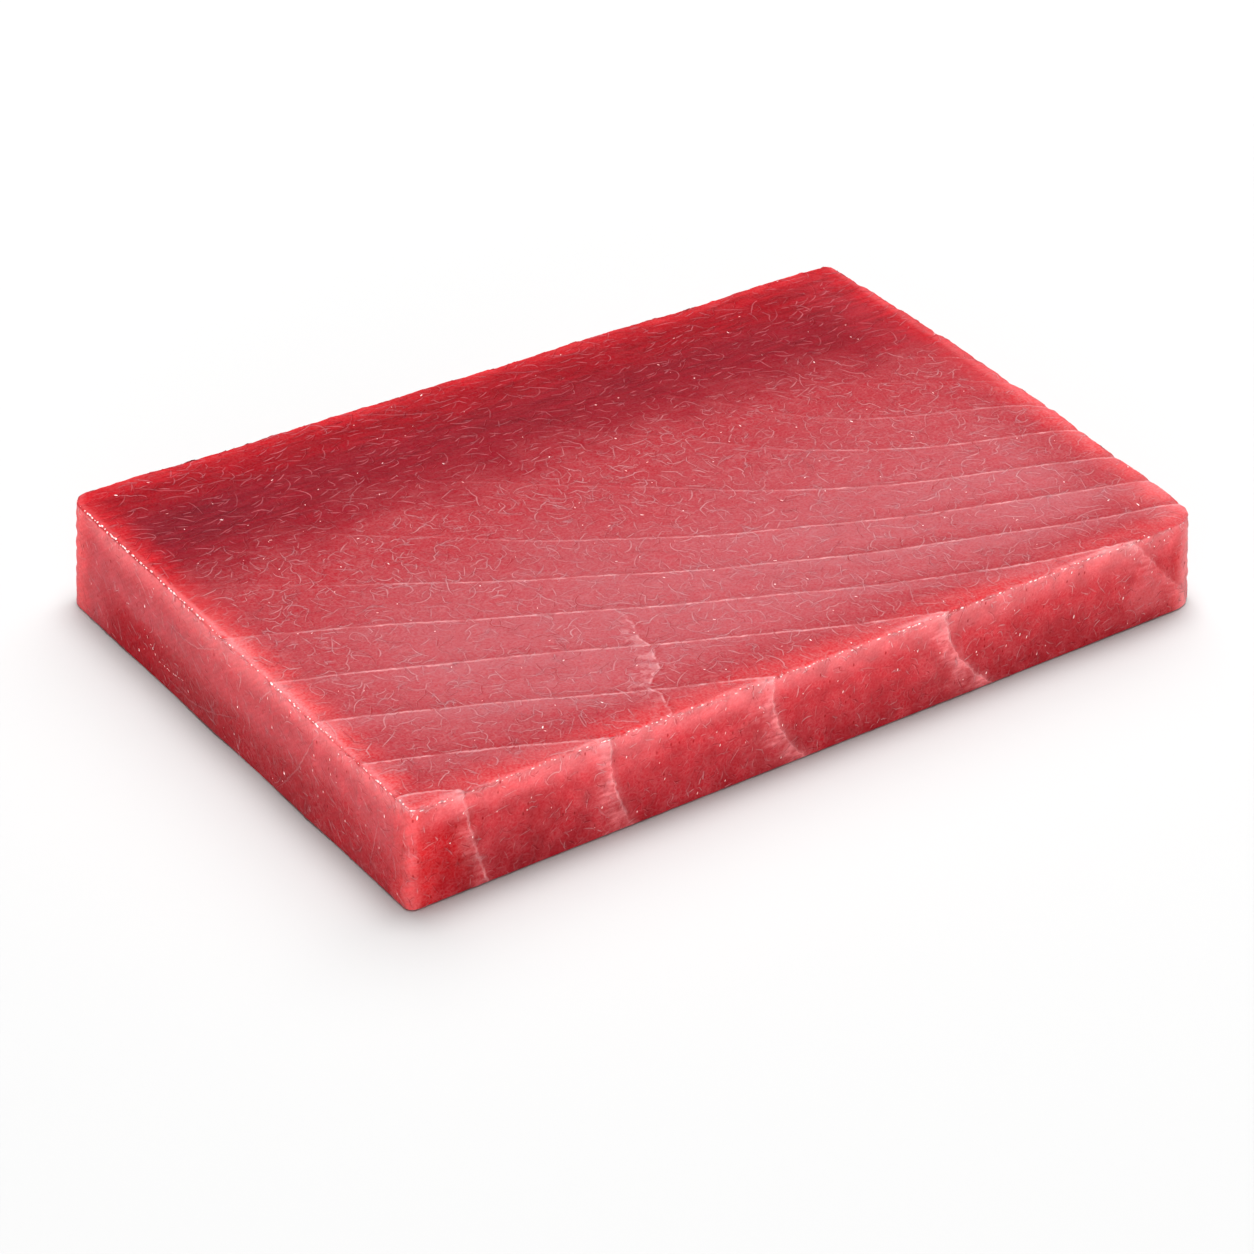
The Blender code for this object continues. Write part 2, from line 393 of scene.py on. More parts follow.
class Signal:
    """One output in a material's nodes, with arithmetic that adds the nodes it needs."""

    def __init__(self, nodes: "Nodes", socket: bpy.types.NodeSocket) -> None:
        """Keeps the output and the tree that it belongs to."""
        self.nodes = nodes
        self.socket = socket

    def _math(self, operation: Operation, *others: "Signal | float") -> "Signal":
        """This signal and the others, through one Math node."""
        return self.nodes.math(operation, self, *others)

    def __add__(self, other: "Signal | float") -> "Signal":
        """The sum."""
        return self._math(Operation.ADD, other)

    def __sub__(self, other: "Signal | float") -> "Signal":
        """The difference."""
        return self._math(Operation.SUBTRACT, other)

    def __rsub__(self, other: float) -> "Signal":
        """The difference, from a number."""
        return self.nodes.math(Operation.SUBTRACT, other, self)

    def __mul__(self, other: "Signal | float") -> "Signal":
        """The product."""
        return self._math(Operation.MULTIPLY, other)

    def __truediv__(self, other: "Signal | float") -> "Signal":
        """The quotient."""
        return self._math(Operation.DIVIDE, other)

    def size(self) -> "Signal":
        """The value without its sign."""
        return self._math(Operation.ABSOLUTE)

    def whole(self) -> "Signal":
        """The nearest whole number."""
        return self._math(Operation.ROUND)

    def least(self, other: "Signal | float") -> "Signal":
        """The lesser of the two."""
        return self._math(Operation.MINIMUM, other)

    def most(self, other: "Signal | float") -> "Signal":
        """The greater of the two."""
        return self._math(Operation.MAXIMUM, other)

    def over(self, limit: float) -> "Signal":
        """1 where the value is over the limit, and 0 elsewhere."""
        return self._math(Operation.GREATER, limit)

    def hypot(self, other: "Signal") -> "Signal":
        """The length of the two at right angles."""
        return (self * self + other * other)._math(Operation.POWER, 0.5)

    def ramp(self, start: float, end: float, low: float = 0.0, high: float = 1.0) -> "Signal":
        """Rises or falls smoothly between two levels.

        Args:
            start: The value that gives the low level.
            end: The value that gives the high level, which may be under start.
            low: The level at start and before it.
            high: The level at end and past it.

        Returns:
            The level for this signal's value.
        """
        node = self.nodes.add("ShaderNodeMapRange")
        node.interpolation_type = "SMOOTHSTEP"
        self.nodes.feed(node.inputs["Value"], self)
        levels = (start, end, low, high) if start < end else (end, start, high, low)
        for name, value in zip(("From Min", "From Max", "To Min", "To Max"), levels):
            node.inputs[name].default_value = value
        return Signal(self.nodes, node.outputs["Result"])


class Nodes:
    """Draws one material's node tree."""

    def __init__(self, name: str) -> None:
        """Starts a material with a Principled shader.

        Args:
            name: The material's name.
        """
        self.material = bpy.data.materials.new(name)
        self.material.use_nodes = True
        self.tree = self.material.node_tree
        self.shader = self.tree.nodes["Principled BSDF"]

    def add(self, kind: str) -> bpy.types.Node:
        """A new node of this kind."""
        return self.tree.nodes.new(kind)

    def feed(self, socket: bpy.types.NodeSocket, value: "Signal | float | Colour") -> None:
        """Links a signal to an input, or sets the input to a number or a colour.

        Args:
            socket: The input.
            value: The signal, the number or the colour.
        """
        if isinstance(value, Signal):
            self.tree.links.new(value.socket, socket)
        elif isinstance(value, tuple) and len(socket.default_value) == 4:
            socket.default_value = (*value, 1.0)
        else:
            socket.default_value = value

    def math(self, operation: Operation, *values: Signal | float) -> Signal:
        """One Math node.

        Args:
            operation: What it does.
            values: Its inputs, in order.

        Returns:
            Its result.
        """
        node = self.add("ShaderNodeMath")
        node.operation = operation.value
        for socket, value in zip(node.inputs, values):
            self.feed(socket, value)
        return Signal(self, node.outputs[0])

    def place(self) -> Signal:
        """The piece's own coordinates, in metres."""
        return Signal(self, self.add("ShaderNodeTexCoord").outputs["Object"])

    def moved(self, vector: Signal, scale: Colour, shift: Colour = (0.0, 0.0, 0.0)) -> Signal:
        """A vector, scaled and then shifted.

        Args:
            vector: The vector.
            scale: What it is multiplied by.
            shift: What is then added to it.

        Returns:
            The new vector.
        """
        node = self.add("ShaderNodeMapping")
        self.feed(node.inputs["Vector"], vector)
        node.inputs["Location"].default_value = shift
        node.inputs["Scale"].default_value = scale
        return Signal(self, node.outputs["Vector"])

    def shaken(self, vector: Signal, by: Signal, amount: float) -> Signal:
        """A vector that a random colour pushes about.

        Args:
            vector: The vector.
            by: A colour whose channels are about a half on average.
            amount: How far it is pushed at most.

        Returns:
            The new vector.
        """
        centred = self.add("ShaderNodeVectorMath")
        centred.operation = "SUBTRACT"
        self.feed(centred.inputs[0], by)
        centred.inputs[1].default_value = (0.5, 0.5, 0.5)
        pushed = self.add("ShaderNodeVectorMath")
        pushed.operation = "MULTIPLY_ADD"
        self.tree.links.new(centred.outputs[0], pushed.inputs[0])
        pushed.inputs[1].default_value = (amount, amount, amount)
        self.feed(pushed.inputs[2], vector)
        return Signal(self, pushed.outputs[0])

    def parts(self, vector: Signal) -> list[Signal]:
        """Takes a vector apart.

        Args:
            vector: The vector.

        Returns:
            Its three numbers.
        """
        node = self.add("ShaderNodeSeparateXYZ")
        self.feed(node.inputs[0], vector)
        return [Signal(self, output) for output in node.outputs]

    def joined(self, x: Signal, y: Signal, z: Signal) -> Signal:
        """Makes a vector of three numbers.

        Args:
            x: The first number.
            y: The second number.
            z: The third number.

        Returns:
            The vector.
        """
        node = self.add("ShaderNodeCombineXYZ")
        for socket, value in zip(node.inputs, (x, y, z)):
            self.feed(socket, value)
        return Signal(self, node.outputs[0])

    def attribute(self, name: str) -> Signal:
        """A number that the mesh holds at its points.

        Args:
            name: The name that it is kept under.

        Returns:
            The number.
        """
        node = self.add("ShaderNodeAttribute")
        node.attribute_name = name
        return Signal(self, node.outputs["Fac"])

    def noise(self, vector: Signal, size: float, detail: float = 1.0, output: str = "Fac") -> Signal:
        """Smooth noise.

        Args:
            vector: Where it is read, in millimetres.
            size: How large its patches are, in millimetres.
            detail: How many finer layers it has.
            output: Fac for a number, or Color.

        Returns:
            The noise, about a half on average.
        """
        node = self.add("ShaderNodeTexNoise")
        self.feed(node.inputs["Vector"], vector)
        node.inputs["Scale"].default_value = 1.0 / size
        node.inputs["Detail"].default_value = detail
        return Signal(self, node.outputs[output])

    def cells(self, vector: Signal, size: float, feature: str = "F1") -> Signal:
        """A pattern of random cells.

        Args:
            vector: Where it is read, in millimetres.
            size: How large the cells are, in millimetres.
            feature: F1, or DISTANCE_TO_EDGE.

        Returns:
            The distances, in cells.
        """
        node = self.add("ShaderNodeTexVoronoi")
        node.feature = feature
        self.feed(node.inputs["Vector"], vector)
        node.inputs["Scale"].default_value = 1.0 / size
        return Signal(self, node.outputs["Distance"])

    def blend(self, share: Signal | float, under: Signal | Colour, over: Signal | Colour,
              way: str = "MIX") -> Signal:
        """One colour over another.

        Args:
            share: How much of the upper colour shows.
            under: The lower colour.
            over: The upper colour.
            way: How they are combined.

        Returns:
            The combined colour.
        """
        node = self.add("ShaderNodeMix")
        node.data_type = "RGBA"
        node.blend_type = way
        self.feed(node.inputs["Factor"], share)
        self.feed(node.inputs[6], under)
        self.feed(node.inputs[7], over)
        return Signal(self, node.outputs[2])

    def layered(self, under: Signal | Colour, *layers: tuple[Signal, Signal | Colour]) -> Signal:
        """Colours laid over one another.

        Args:
            under: The lowest colour.
            layers: How much of each further colour shows, and that colour, from the lowest up.

        Returns:
            The combined colour.
        """
        for share, over in layers:
            under = self.blend(share, under, over)
        return under

    def bump(self, height: Signal, depth: float, strength: float) -> None:
        """Gives the shader a relief that is too fine for the mesh.

        Args:
            height: Heights from 0 to 1.
            depth: The relief's depth in metres.
            strength: How much of it shows.
        """
        node = self.add("ShaderNodeBump")
        self.feed(node.inputs["Height"], height)
        node.inputs["Distance"].default_value = depth
        node.inputs["Strength"].default_value = strength
        self.tree.links.new(node.outputs["Normal"], self.shader.inputs["Normal"])

    def set(self, **values: float | Colour) -> None:
        """Sets the shader's own inputs, named with _ for a space."""
        for name, value in values.items():
            self.feed(self.shader.inputs[name.replace("_", " ")], value)


@dataclass(frozen=True)
class CornerLight:
    """How brightly the painted glow of one upright corner shows: shares, and how far each colour reaches, in
    millimetres.
    """

    share: float
    reach: float
    pale: Colour
    pale_share: float
    pale_reach: float
    pale_core: float


@dataclass(frozen=True)
class FleshFinish:
    """Raw, wet tuna flesh: its colours, with painted light and shade among them, and how it takes the light.
    """

    cut: Cut = Cut()
    deep_red: Colour = (0.151, 0.0062, 0.0112)
    darkest: Colour = (0.120, 0.0054, 0.0106)
    back_strip: Colour = (0.205, 0.0036, 0.0065)
    red: Colour = (0.248, 0.0145, 0.0208)
    # pale haze of painted sheen on the top face
    sheen_haze: Colour = (0.293, 0.0480, 0.0578)
    glow: Colour = (0.475, 0.0375, 0.0405)
    deep_glow: Colour = (0.350, 0.0100, 0.0140)
    pale_glow: Colour = (0.580, 0.1300, 0.1350)
    deep_pale_glow: Colour = (0.385, 0.0220, 0.0260)
    # painted highlight along the top edges
    rim_highlight: Colour = (0.640, 0.1550, 0.1650)
    # painted light under the top edge of the sides, then painted shade lower down towards the base
    lit_side_high: Colour = (0.715, 0.1400, 0.1510)
    shaded_side_middle: Colour = (0.488, 0.0350, 0.0435)
    shaded_side_low: Colour = (0.307, 0.0146, 0.0208)
    # pale haze of painted sheen on the left face
    side_sheen_haze: Colour = (0.455, 0.0715, 0.0830)
    side_shadow: Colour = (0.240, 0.0075, 0.0120)
    beside_corner: Colour = (0.400, 0.0065, 0.0095)
    # painted glow at the upright corners, where light shows through the flesh
    corner: Colour = (0.600, 0.0370, 0.0400)
    front_left: CornerLight = CornerLight(0.45, 7.0, (0.530, 0.0840, 0.0900), 0.55, 2.8, 0.8)
    front_right: CornerLight = CornerLight(0.85, 12.0, (0.860, 0.2200, 0.2300), 0.90, 7.5, 3.0)
    at_back: CornerLight = CornerLight(0.65, 12.0, (0.810, 0.1250, 0.1320), 0.80, 9.0, 1.0)
    tissue: Colour = (0.500, 0.2250, 0.2350)
    strand: Colour = (0.400, 0.1620, 0.1720)
    dark_strand: Colour = (0.345, 0.0800, 0.0930)
    # lit copy of the thread colour, for the painted light high on the sides
    lit_edge_strand: Colour = (0.740, 0.3500, 0.3550)
    flare: Colour = (0.865, 0.2600, 0.2730)
    tip: Colour = (0.860, 0.3500, 0.3550)
    # painted shade in holes of the torn flesh
    torn_hole_shade: Colour = (0.430, 0.0110, 0.0150)
    sheen: Colour = (0.325, 0.0975, 0.1105)
    # painted shade in small slits
    slit_shade: Colour = (0.660, 0.2800, 0.3000)
    # painted shade of creases
    crease_shade: Colour = (0.140, 0.0036, 0.0060)
    soft_crease_shade: Colour = (0.235, 0.0080, 0.0115)
    edge_crease: Colour = (0.500, 0.0360, 0.0420)
    dark_patch: tuple = (19.0, 109.0)
    dark_patch_reach: tuple = (17.0, 10.0)
    bright_patches: tuple = ((51.0, 17.0), (136.0, 18.5), (176.0, 7.0))
    curl_share: float = 0.13
    hair_slope: tuple = (0.61, 0.79)
    roughness: tuple = (0.36, 0.52)
    specular: tuple = (0.090, 0.020)
    subsurface: float = 0.30
    subsurface_reach: Colour = (0.0030, 0.0008, 0.0006)
    ior: float = 1.38
    bump_depth: float = 0.00018
    bump_strength: float = 0.6

    def build(self) -> bpy.types.Material:
        """The finished material."""
        return FleshSurface(self).build()


class Ground:
    """Where on the block a point of the surface lies, in millimetres, and the plain noise there."""

    def __init__(self, nodes: Nodes, cut: Cut) -> None:
        """Adds the nodes that tell where a point lies.

        Args:
            nodes: The material's node tree.
            cut: The block's form.
        """
        self.nodes = nodes
        shift = (cut.length / 2.0 / MM, cut.width / 2.0 / MM, 0.0)
        self.place = nodes.moved(nodes.place(), (1.0 / MM,) * 3, shift)
        self.x, self.y, self.z = nodes.parts(self.place)
        self.from_right = cut.length / MM - self.x
        self.from_back = cut.width / MM - self.y
        self.depth = nodes.attribute("depth") / MM
        self.inset = nodes.attribute("inset") / MM
        self.edge = self.inset.most(self.depth)
        self.drift = self.noise(26.0)
        self.patches = self.noise(5.0)
        self.grain = self.noise(0.5, 1.0)
        self.streaks = self.stretched((0.10, 1.0, 1.0), 1.3)
        swing = (self.drift - 0.5) * 24.0 + (self.streaks - 0.5) * 16.0 + (self.patches - 0.5) * 10.0
        nearer = self.x.ramp(48.0, 14.0) * 7.0 + self.from_right.ramp(26.0, 8.0) * 6.0
        self.far = self.y + swing + self.x * 0.02 + nearer * self.y.ramp(55.0, 82.0)
        self.dark = self.far.ramp(84.0, 108.0)
        self.on_top = self.depth.ramp(0.65, 0.15)
        self.on_side = 1.0 - self.on_top
        self.on_front = self.y.ramp(2.6, 1.4) * self.on_side
        self.on_left = self.x.ramp(2.0, 1.0) * self.on_side
        self.band = nodes.attribute("band")
        self.away = (self.band - self.band.whole()) * nodes.attribute("band_width") / MM

    def noise(self, size: float, detail: float = 2.0, output: str = "Fac") -> Signal:
        """Smooth noise over the block, in patches of this size."""
        return self.nodes.noise(self.place, size, detail, output)

    def stretched(self, scale: Colour, size: float) -> Signal:
        """Smooth noise over the block, drawn out along each axis whose scale is under 1."""
        return self.nodes.noise(self.nodes.moved(self.place, scale), size, 2.0)


class FleshSurface(Ground):
    """Draws the flesh's material.

    The first two numbers of a ramp are millimetres, or a noise's own values. Its levels, and the numbers that
    signals are multiplied by before they are blended, are shares.
    """

    def __init__(self, look: FleshFinish) -> None:
        """Starts the material with these colours."""
        super().__init__(Nodes("raw_flesh_surface"), look.cut)
        self.look = look

    def build(self) -> bpy.types.Material:
        """Draws the material.

        Returns:
            The finished material.
        """
        nodes = self.nodes
        curls = self.curls()
        strand, crease_shade = self.line_colours()
        colour = nodes.blend(curls * self.look.curl_share, self.zones(), strand)
        # painted shade in small slits in the sides
        colour = nodes.blend(self.pit_shade(), colour, self.look.slit_shade, "MULTIPLY")
        colour = self.seam(self.walls(colour))
        thread = nodes.attribute("thread")
        colour = nodes.layered(colour, (thread.most(0.0), strand), ((0.0 - thread).most(0.0), crease_shade))
        nodes.feed(nodes.shader.inputs["Base Color"], self.mottled(colour))
        nodes.feed(nodes.shader.inputs["Roughness"], self.patches.ramp(0.2, 0.8, *self.look.roughness))
        nodes.feed(nodes.shader.inputs["Specular IOR Level"], self.dark.ramp(0.0, 1.0, *self.look.specular))
        height = curls * 0.4 + self.grain * 0.20 + self.streaks * 0.3
        nodes.bump(height, self.look.bump_depth, self.look.bump_strength)
        nodes.set(Subsurface_Weight=self.look.subsurface, Subsurface_Radius=self.look.subsurface_reach)
        nodes.set(Subsurface_Scale=1.0, IOR=self.look.ior, Coat_Weight=0.0)
        return nodes.material

    def line_colours(self) -> tuple[Signal, Signal]:
        """How the fine lines are coloured in each zone.

        Returns:
            A thread's colour, and the painted shade of a crease.
        """
        on_top, on_side, depth = self.on_top, self.on_side, self.depth
        strand = self.nodes.layered(
            self.look.strand,
            (self.dark * on_top, self.look.dark_strand),
            (on_side * depth.ramp(15.0, 1.5, 0.15, 1.0), self.look.lit_edge_strand),
        )
        deep = self.dark * self.inset.ramp(3.0, 10.0, 0.3, 1.0)
        crease_shade = self.nodes.layered(
            self.look.soft_crease_shade,
            (deep.most(depth.ramp(8.0, 18.0)), self.look.crease_shade),
            ((on_side * depth.ramp(11.0, 4.0)).most(self.y.ramp(5.0, 2.0) * on_top), self.look.edge_crease),
        )
        return strand, crease_shade

    def zones(self) -> Signal:
        """The flesh's broad colours on all faces, with a painted highlight along the rim where the top ends.

        Returns:
            The colour.
        """
        on_left = self.x.ramp(4.0, 2.0) * self.y.ramp(2.0, 4.0)
        # painted highlight along the top edges
        rim_highlight = (self.inset - on_left * 0.5).size() + (self.depth + on_left * 0.5 - 0.5).size()
        rim_highlight = rim_highlight.ramp(1.30, 0.10)
        line = rim_highlight * self.far.ramp(100.0, 76.0, 0.22, 0.70) * (1.0 - on_left * 0.30)
        least = rim_highlight * on_left * self.y.ramp(104.0, 88.0, 0.14, 0.42)
        on_right = self.from_right.ramp(2.4, 0.5) * self.y.ramp(20.0, 60.0) * 0.20
        return self.nodes.layered(
            self.glowing_top(),
            (self.on_side, self.side()),
            (line.most(least).most(on_right), self.look.rim_highlight),
        )

    def plain_top(self) -> Signal:
        """The top face away from its edges: dark towards the back, and in front a pale haze of painted sheen.

        Returns:
            The colour.
        """
        hazy_sheen = self.far.ramp(88.0, 34.0) * self.y.ramp(3.0, 20.0) * self.x.ramp(2.0, 34.0, 0.22, 1.0)
        along = (self.x - self.look.dark_patch[0]) / self.look.dark_patch_reach[0]
        across = (self.y - self.look.dark_patch[1]) / self.look.dark_patch_reach[1]
        return self.nodes.layered(
            self.look.red,
            # painted sheen over the front of the top face
            (hazy_sheen * self.from_right.ramp(4.0, 18.0, 0.40, 1.0), self.look.sheen_haze),
            (self.dark, self.look.deep_red),
            (along.hypot(across).ramp(1.3, 0.2) * 0.8, self.look.darkest),
            ((self.y + self.x * 0.02).ramp(113.0, 123.0) * 0.6, self.look.back_strip),
            (self.from_right.ramp(20.0, 7.0) * 0.6, self.look.red),
        )

    def glowing_top(self) -> Signal:
        """The top face with the light that shows through it near its edges.

        Returns:
            The colour.
        """
        x, y, from_right = self.x, self.y, self.from_right
        glow = self.nodes.blend(self.far.ramp(60.0, 96.0), self.look.glow, self.look.deep_glow)
        ends = x.least(from_right).ramp(12.0, 5.0, 0.60, 0.84) * from_right.ramp(6.0, 12.0, 0.86, 1.0)
        loose = (self.noise(2.4) - 0.5) * 4.0 + self.inset
        pale = self.nodes.blend(self.far.ramp(64.0, 92.0), self.look.pale_glow, self.look.deep_pale_glow)
        combed = (self.stretched((0.22, 1.0, 1.0), 1.1) - 0.5) * 3.6 + self.inset
        before = 1.0 - self.away.over(0.0)
        lit = self.away.ramp(-9.0, -1.0, 0.60, 1.10) * before + (1.0 - before) * 0.55
        lit = lit * y.ramp(2.0, 6.0, 0.0, 1.0)
        lit = lit * from_right.ramp(6.0, 12.0, 0.40, 1.0).most(y.ramp(30.0, 18.0) * 0.85)
        lit = lit * (1.0 - x.ramp(11.0, 6.0) * y.ramp(34.0, 22.0) * 0.65)
        lit = lit * (1.0 - from_right.ramp(9.0, 5.0) * y.ramp(40.0, 52.0) * y.ramp(98.0, 90.0) * 0.55)
        return self.nodes.layered(
            self.plain_top(),
            (loose.ramp(8.5, 0.3) * ends, glow),
            ((combed.ramp(4.6, -1.4) * lit).least(1.0), pale),
            (from_right.ramp(14.0, 6.0) * y.ramp(24.0, 10.0) * 0.24, pale),
        )

    def side(self) -> Signal:
        """The sides: painted light under the top edge, painted shade towards the base, and a painted glow at
        the upright corners.

        Returns:
            The colour.
        """
        x, y, on_left, on_front = self.x, self.y, self.on_left, self.on_front
        low = self.depth * ((self.drift - 0.5) * 0.9 + (self.patches - 0.5) * 0.5 + 1.0)
        far_back = y.ramp(108.0, 121.0)
        sheen_haze = on_left * low.ramp(2.5, 7.0) * low.ramp(16.0, 9.0).most(far_back)
        shadow = on_left * low.ramp(9.0, 15.0) * (1.0 - far_back) * y.ramp(12.0, 36.0, 0.0, 1.0)
        low_left = x.ramp(17.0, 11.0) * x.ramp(3.0, 8.0) * low.ramp(13.0, 19.0)
        layers = [
            # painted shade, darker towards the base
            (low.ramp(0.0, 7.5), self.look.shaded_side_middle),
            (low.ramp(5.0, 20.0), self.look.shaded_side_low),
            # painted sheen on the left face
            (sheen_haze * y.ramp(78.0, 96.0, 0.50, 0.80), self.look.side_sheen_haze),
            (shadow * 0.44, self.look.side_shadow),
            (on_front * x.ramp(17.0, 11.0) * low.ramp(3.0, 9.0) * 0.80, self.look.beside_corner),
        ]
        # brighter patches on the front, in the colour of the painted light under the top edge
        for middle, height in self.look.bright_patches:
            near = (x - middle).hypot((self.z - height) * 1.3).ramp(8.5, 1.5)
            layers.append((near * on_front * 0.32, self.look.lit_side_high))
        layers += [
            (on_front * low_left * 0.60, self.look.side_shadow),
            # painted glow high on the front near the left corner
            (on_front * x.ramp(30.0, 22.0) * low.ramp(6.0, 1.0) * 0.35, self.look.corner),
            (self.depth.ramp(19.0, 21.5) * 0.30, self.look.side_shadow),
        ]
        # painted glow at each upright corner
        for aside, run, light in (
            (x, y, self.look.front_left),
            (x, self.from_back, self.look.at_back),
            (self.from_right, y, self.look.front_right),
            (self.from_right, self.from_back, self.look.at_back),
        ):
            away = aside.hypot(run)
            layers.append((away.ramp(light.reach, 1.0) * light.share, self.look.corner))
            layers.append((away.ramp(light.pale_reach, light.pale_core) * light.pale_share, light.pale))
        return self.nodes.layered(self.look.lit_side_high, *layers)

    def walls(self, colour: Signal) -> Signal:
        """The thin pale walls between the muscle bands, and how the flesh looks beside them.

        Args:
            colour: What they lie on.

        Returns:
            The colour with the walls over it.
        """
        away = self.away + (self.noise(1.7, 3.0) - 0.5) * self.on_side.ramp(0.0, 1.0, 0.55, 1.8)
        weak = self.far.ramp(46.0, 88.0, 1.0, 0.14) * self.dark.ramp(0.2, 1.0, 1.0, 0.3)
        weak = weak * (1.0 - self.on_left)
        last = self.from_right.ramp(10.0, 26.0, 0.45, 1.0)
        colour = self.flares(self.satin(colour, away, weak), away, last)
        knots = self.noise(4.5).ramp(0.30, 0.62, 0.20, 1.0)
        dashes = self.noise(2.0, 1.0).ramp(0.54, 0.70, 0.0, 0.36)
        line = away.size().ramp(0.46, 0.08) * knots * weak * (1.0 - (1.0 - last * 0.5) * self.on_front)
        # walls high on the sides take the lit copy of their colour, in the painted light there
        high = self.on_side * self.depth.ramp(18.0, 1.5, 0.6, 1.0)
        bright = self.nodes.blend(high, self.look.tissue, self.look.lit_edge_strand)
        return self.nodes.blend(line * (dashes + 0.56), colour, bright)

    def satin(self, colour: Signal, away: Signal, weak: Signal) -> Signal:
        """The soft light before each wall on the top face, and the shade behind it.

        Args:
            colour: What they lie on.
            away: How far behind the nearest wall a point lies, negative before it.
            weak: How clearly the walls show.

        Returns:
            The colour with the light and the shade over it.
        """
        nodes = self.nodes
        before = 1.0 - away.over(0.0)
        ends = self.x.ramp(70.0, 30.0).most(self.x.ramp(95.0, 130.0)) * self.y.ramp(46.0, 24.0)
        uneven = nodes.noise(nodes.joined(self.band * 3.0, self.x * 0.03, self.y * 0.03), 1.0, 2.0)
        uneven = (uneven - 0.5) * 1.6
        shine = (away.ramp(-6.5, -0.5) * before * 0.9 + uneven).least(1.0).most(0.0)
        gloom = (away.ramp(5.5, 0.3) * (1.0 - before) * 0.9 - uneven).least(1.0).most(0.0)
        return nodes.layered(
            colour,
            (shine * (ends * 0.18 + 0.14) * weak * self.on_top, self.look.sheen),
            (gloom * (ends * 0.38 + 0.12) * weak * self.on_top, self.look.red),
            # painted shade just behind each wall
            (away.ramp(2.2, 0.6) * (1.0 - before) * weak * 0.09, self.look.crease_shade),
        )

    def flares(self, colour: Signal, away: Signal, last: Signal) -> Signal:
        """The pale flesh before each wall on the front face, its bright upper tip, and painted shade in the
        torn holes behind.

        Args:
            colour: What they lie on.
            away: How far behind the nearest wall a point lies, negative before it.
            last: How clearly they show towards the right end.

        Returns:
            The colour with the pale flesh over it.
        """
        x, on_front, before = self.x, self.on_front, 1.0 - away.over(0.0)
        fan = self.stretched((0.25, 1.0, 1.0), 0.8)
        reach = away + (fan - 0.5) * 4.4
        cloud = self.noise(3.4).ramp(0.30, 0.70, 0.35, 1.0) * fan.ramp(0.3, 0.7, 0.7, 1.2)
        broad = reach.ramp(-12.0, 0.0) * x.ramp(14.0, 60.0, 0.02, 0.28)
        flare = (reach.ramp(-4.6, 0.4) * x.ramp(16.0, 40.0, 0.58, 0.70) + broad) * before
        flare = flare * on_front * self.depth.ramp(19.0, 2.0, 0.52, 0.84)
        beyond = away.ramp(2.4, 0.0) * (1.0 - before) * on_front * 0.18
        in_front = self.y.ramp(5.0, 3.5)
        near = (self.edge * (self.on_top + 1.0)).ramp(3.0, 0.4) * x.ramp(8.0, 16.0, 0.4, 1.0)
        tip = away.ramp(-6.0, -0.4) * before * near * in_front * cloud * (self.on_side * 0.35 + 0.45)
        torn = self.noise(1.2, 1.0).ramp(0.47, 0.55) * self.edge.ramp(1.1, 0.5) * (1.0 - before)
        torn = torn * (away.ramp(7.0, 3.0) * in_front).most(away.ramp(1.6, 0.8))
        return self.nodes.layered(
            colour,
            ((flare + beyond) * last * cloud, self.look.flare),
            (tip.least(1.0), self.look.tip),
            # painted shade in the torn holes
            (torn * self.from_right.ramp(40.0, 70.0, 0.25, 0.55), self.look.torn_hole_shade),
        )

    def seam(self, colour: Signal) -> Signal:
        """The pale seam across the bands, sharp on its right side, with painted shade just beyond it there.

        Args:
            colour: What it lies on.

        Returns:
            The colour with the seam over it.
        """
        away = self.nodes.attribute("vein") / MM + (self.noise(1.6) - 0.5) * 1.4
        fade = self.y.ramp(40.0, 24.0) * self.on_top
        cloud = self.noise(2.2, 3.0).ramp(0.40, 0.60)
        wide = (away + (cloud - 0.5) * 2.4).ramp(-4.2, -0.2) * away.ramp(0.35, 0.0) * cloud
        wide = wide * self.y.ramp(3.0, 14.0, 0.4, 1.0)
        line = away.size().ramp(0.45, 0.1) * cloud.ramp(0.0, 1.0, 0.25, 1.0)
        return self.nodes.layered(
            colour,
            (wide * fade * 0.34, self.look.tissue),
            # painted shade beside the seam's right side
            (away.ramp(2.6, 0.3) * away.ramp(0.0, 0.3) * fade * cloud * 0.42, self.look.soft_crease_shade),
            (line * fade * 0.48, self.look.tissue),
        )

    def curls(self) -> Signal:
        """A faint net of tissue around small cells, with curly strokes in it.

        Returns:
            How much of a stroke covers each point.
        """
        nodes = self.nodes
        bent = nodes.shaken(self.place, self.noise(2.4, 1.0, "Color"), 3.6)
        net = nodes.cells(bent, 3.4, "DISTANCE_TO_EDGE").ramp(0.075, 0.02)
        net = net * self.noise(3.0, 1.0).ramp(0.42, 0.58)
        height = nodes.noise(nodes.moved(self.place, (1.0,) * 3, (7.0, 0.0, 0.0)), 3.0, 1.0)
        kept = nodes.parts(self.noise(2.6, 1.0, "Color"))[0].ramp(0.50, 0.60)
        stroke = (height - 0.5).size().ramp(0.045, 0.01) * kept
        fine = nodes.cells(bent, 1.5, "DISTANCE_TO_EDGE").ramp(0.12, 0.03)
        fine = fine * self.noise(5.0, 1.0).ramp(0.40, 0.60) * self.on_side
        share = (1.0 - self.dark * 0.70) * (1.0 - self.on_side * self.depth.ramp(16.0, 4.0, 0.3, 0.7))
        return net.most(stroke).most(fine) * share

    def pit_shade(self) -> Signal:
        """Small slits in the sides, darkened with painted shade.

        Returns:
            How much of a slit covers each point.
        """
        narrow = self.nodes.moved(self.place, (1.5, 1.5, 0.8))
        slit_shade = self.nodes.cells(narrow, 2.7).ramp(0.16, 0.06)
        return slit_shade * self.noise(4.0, 0.0).ramp(0.44, 0.53) * self.on_side

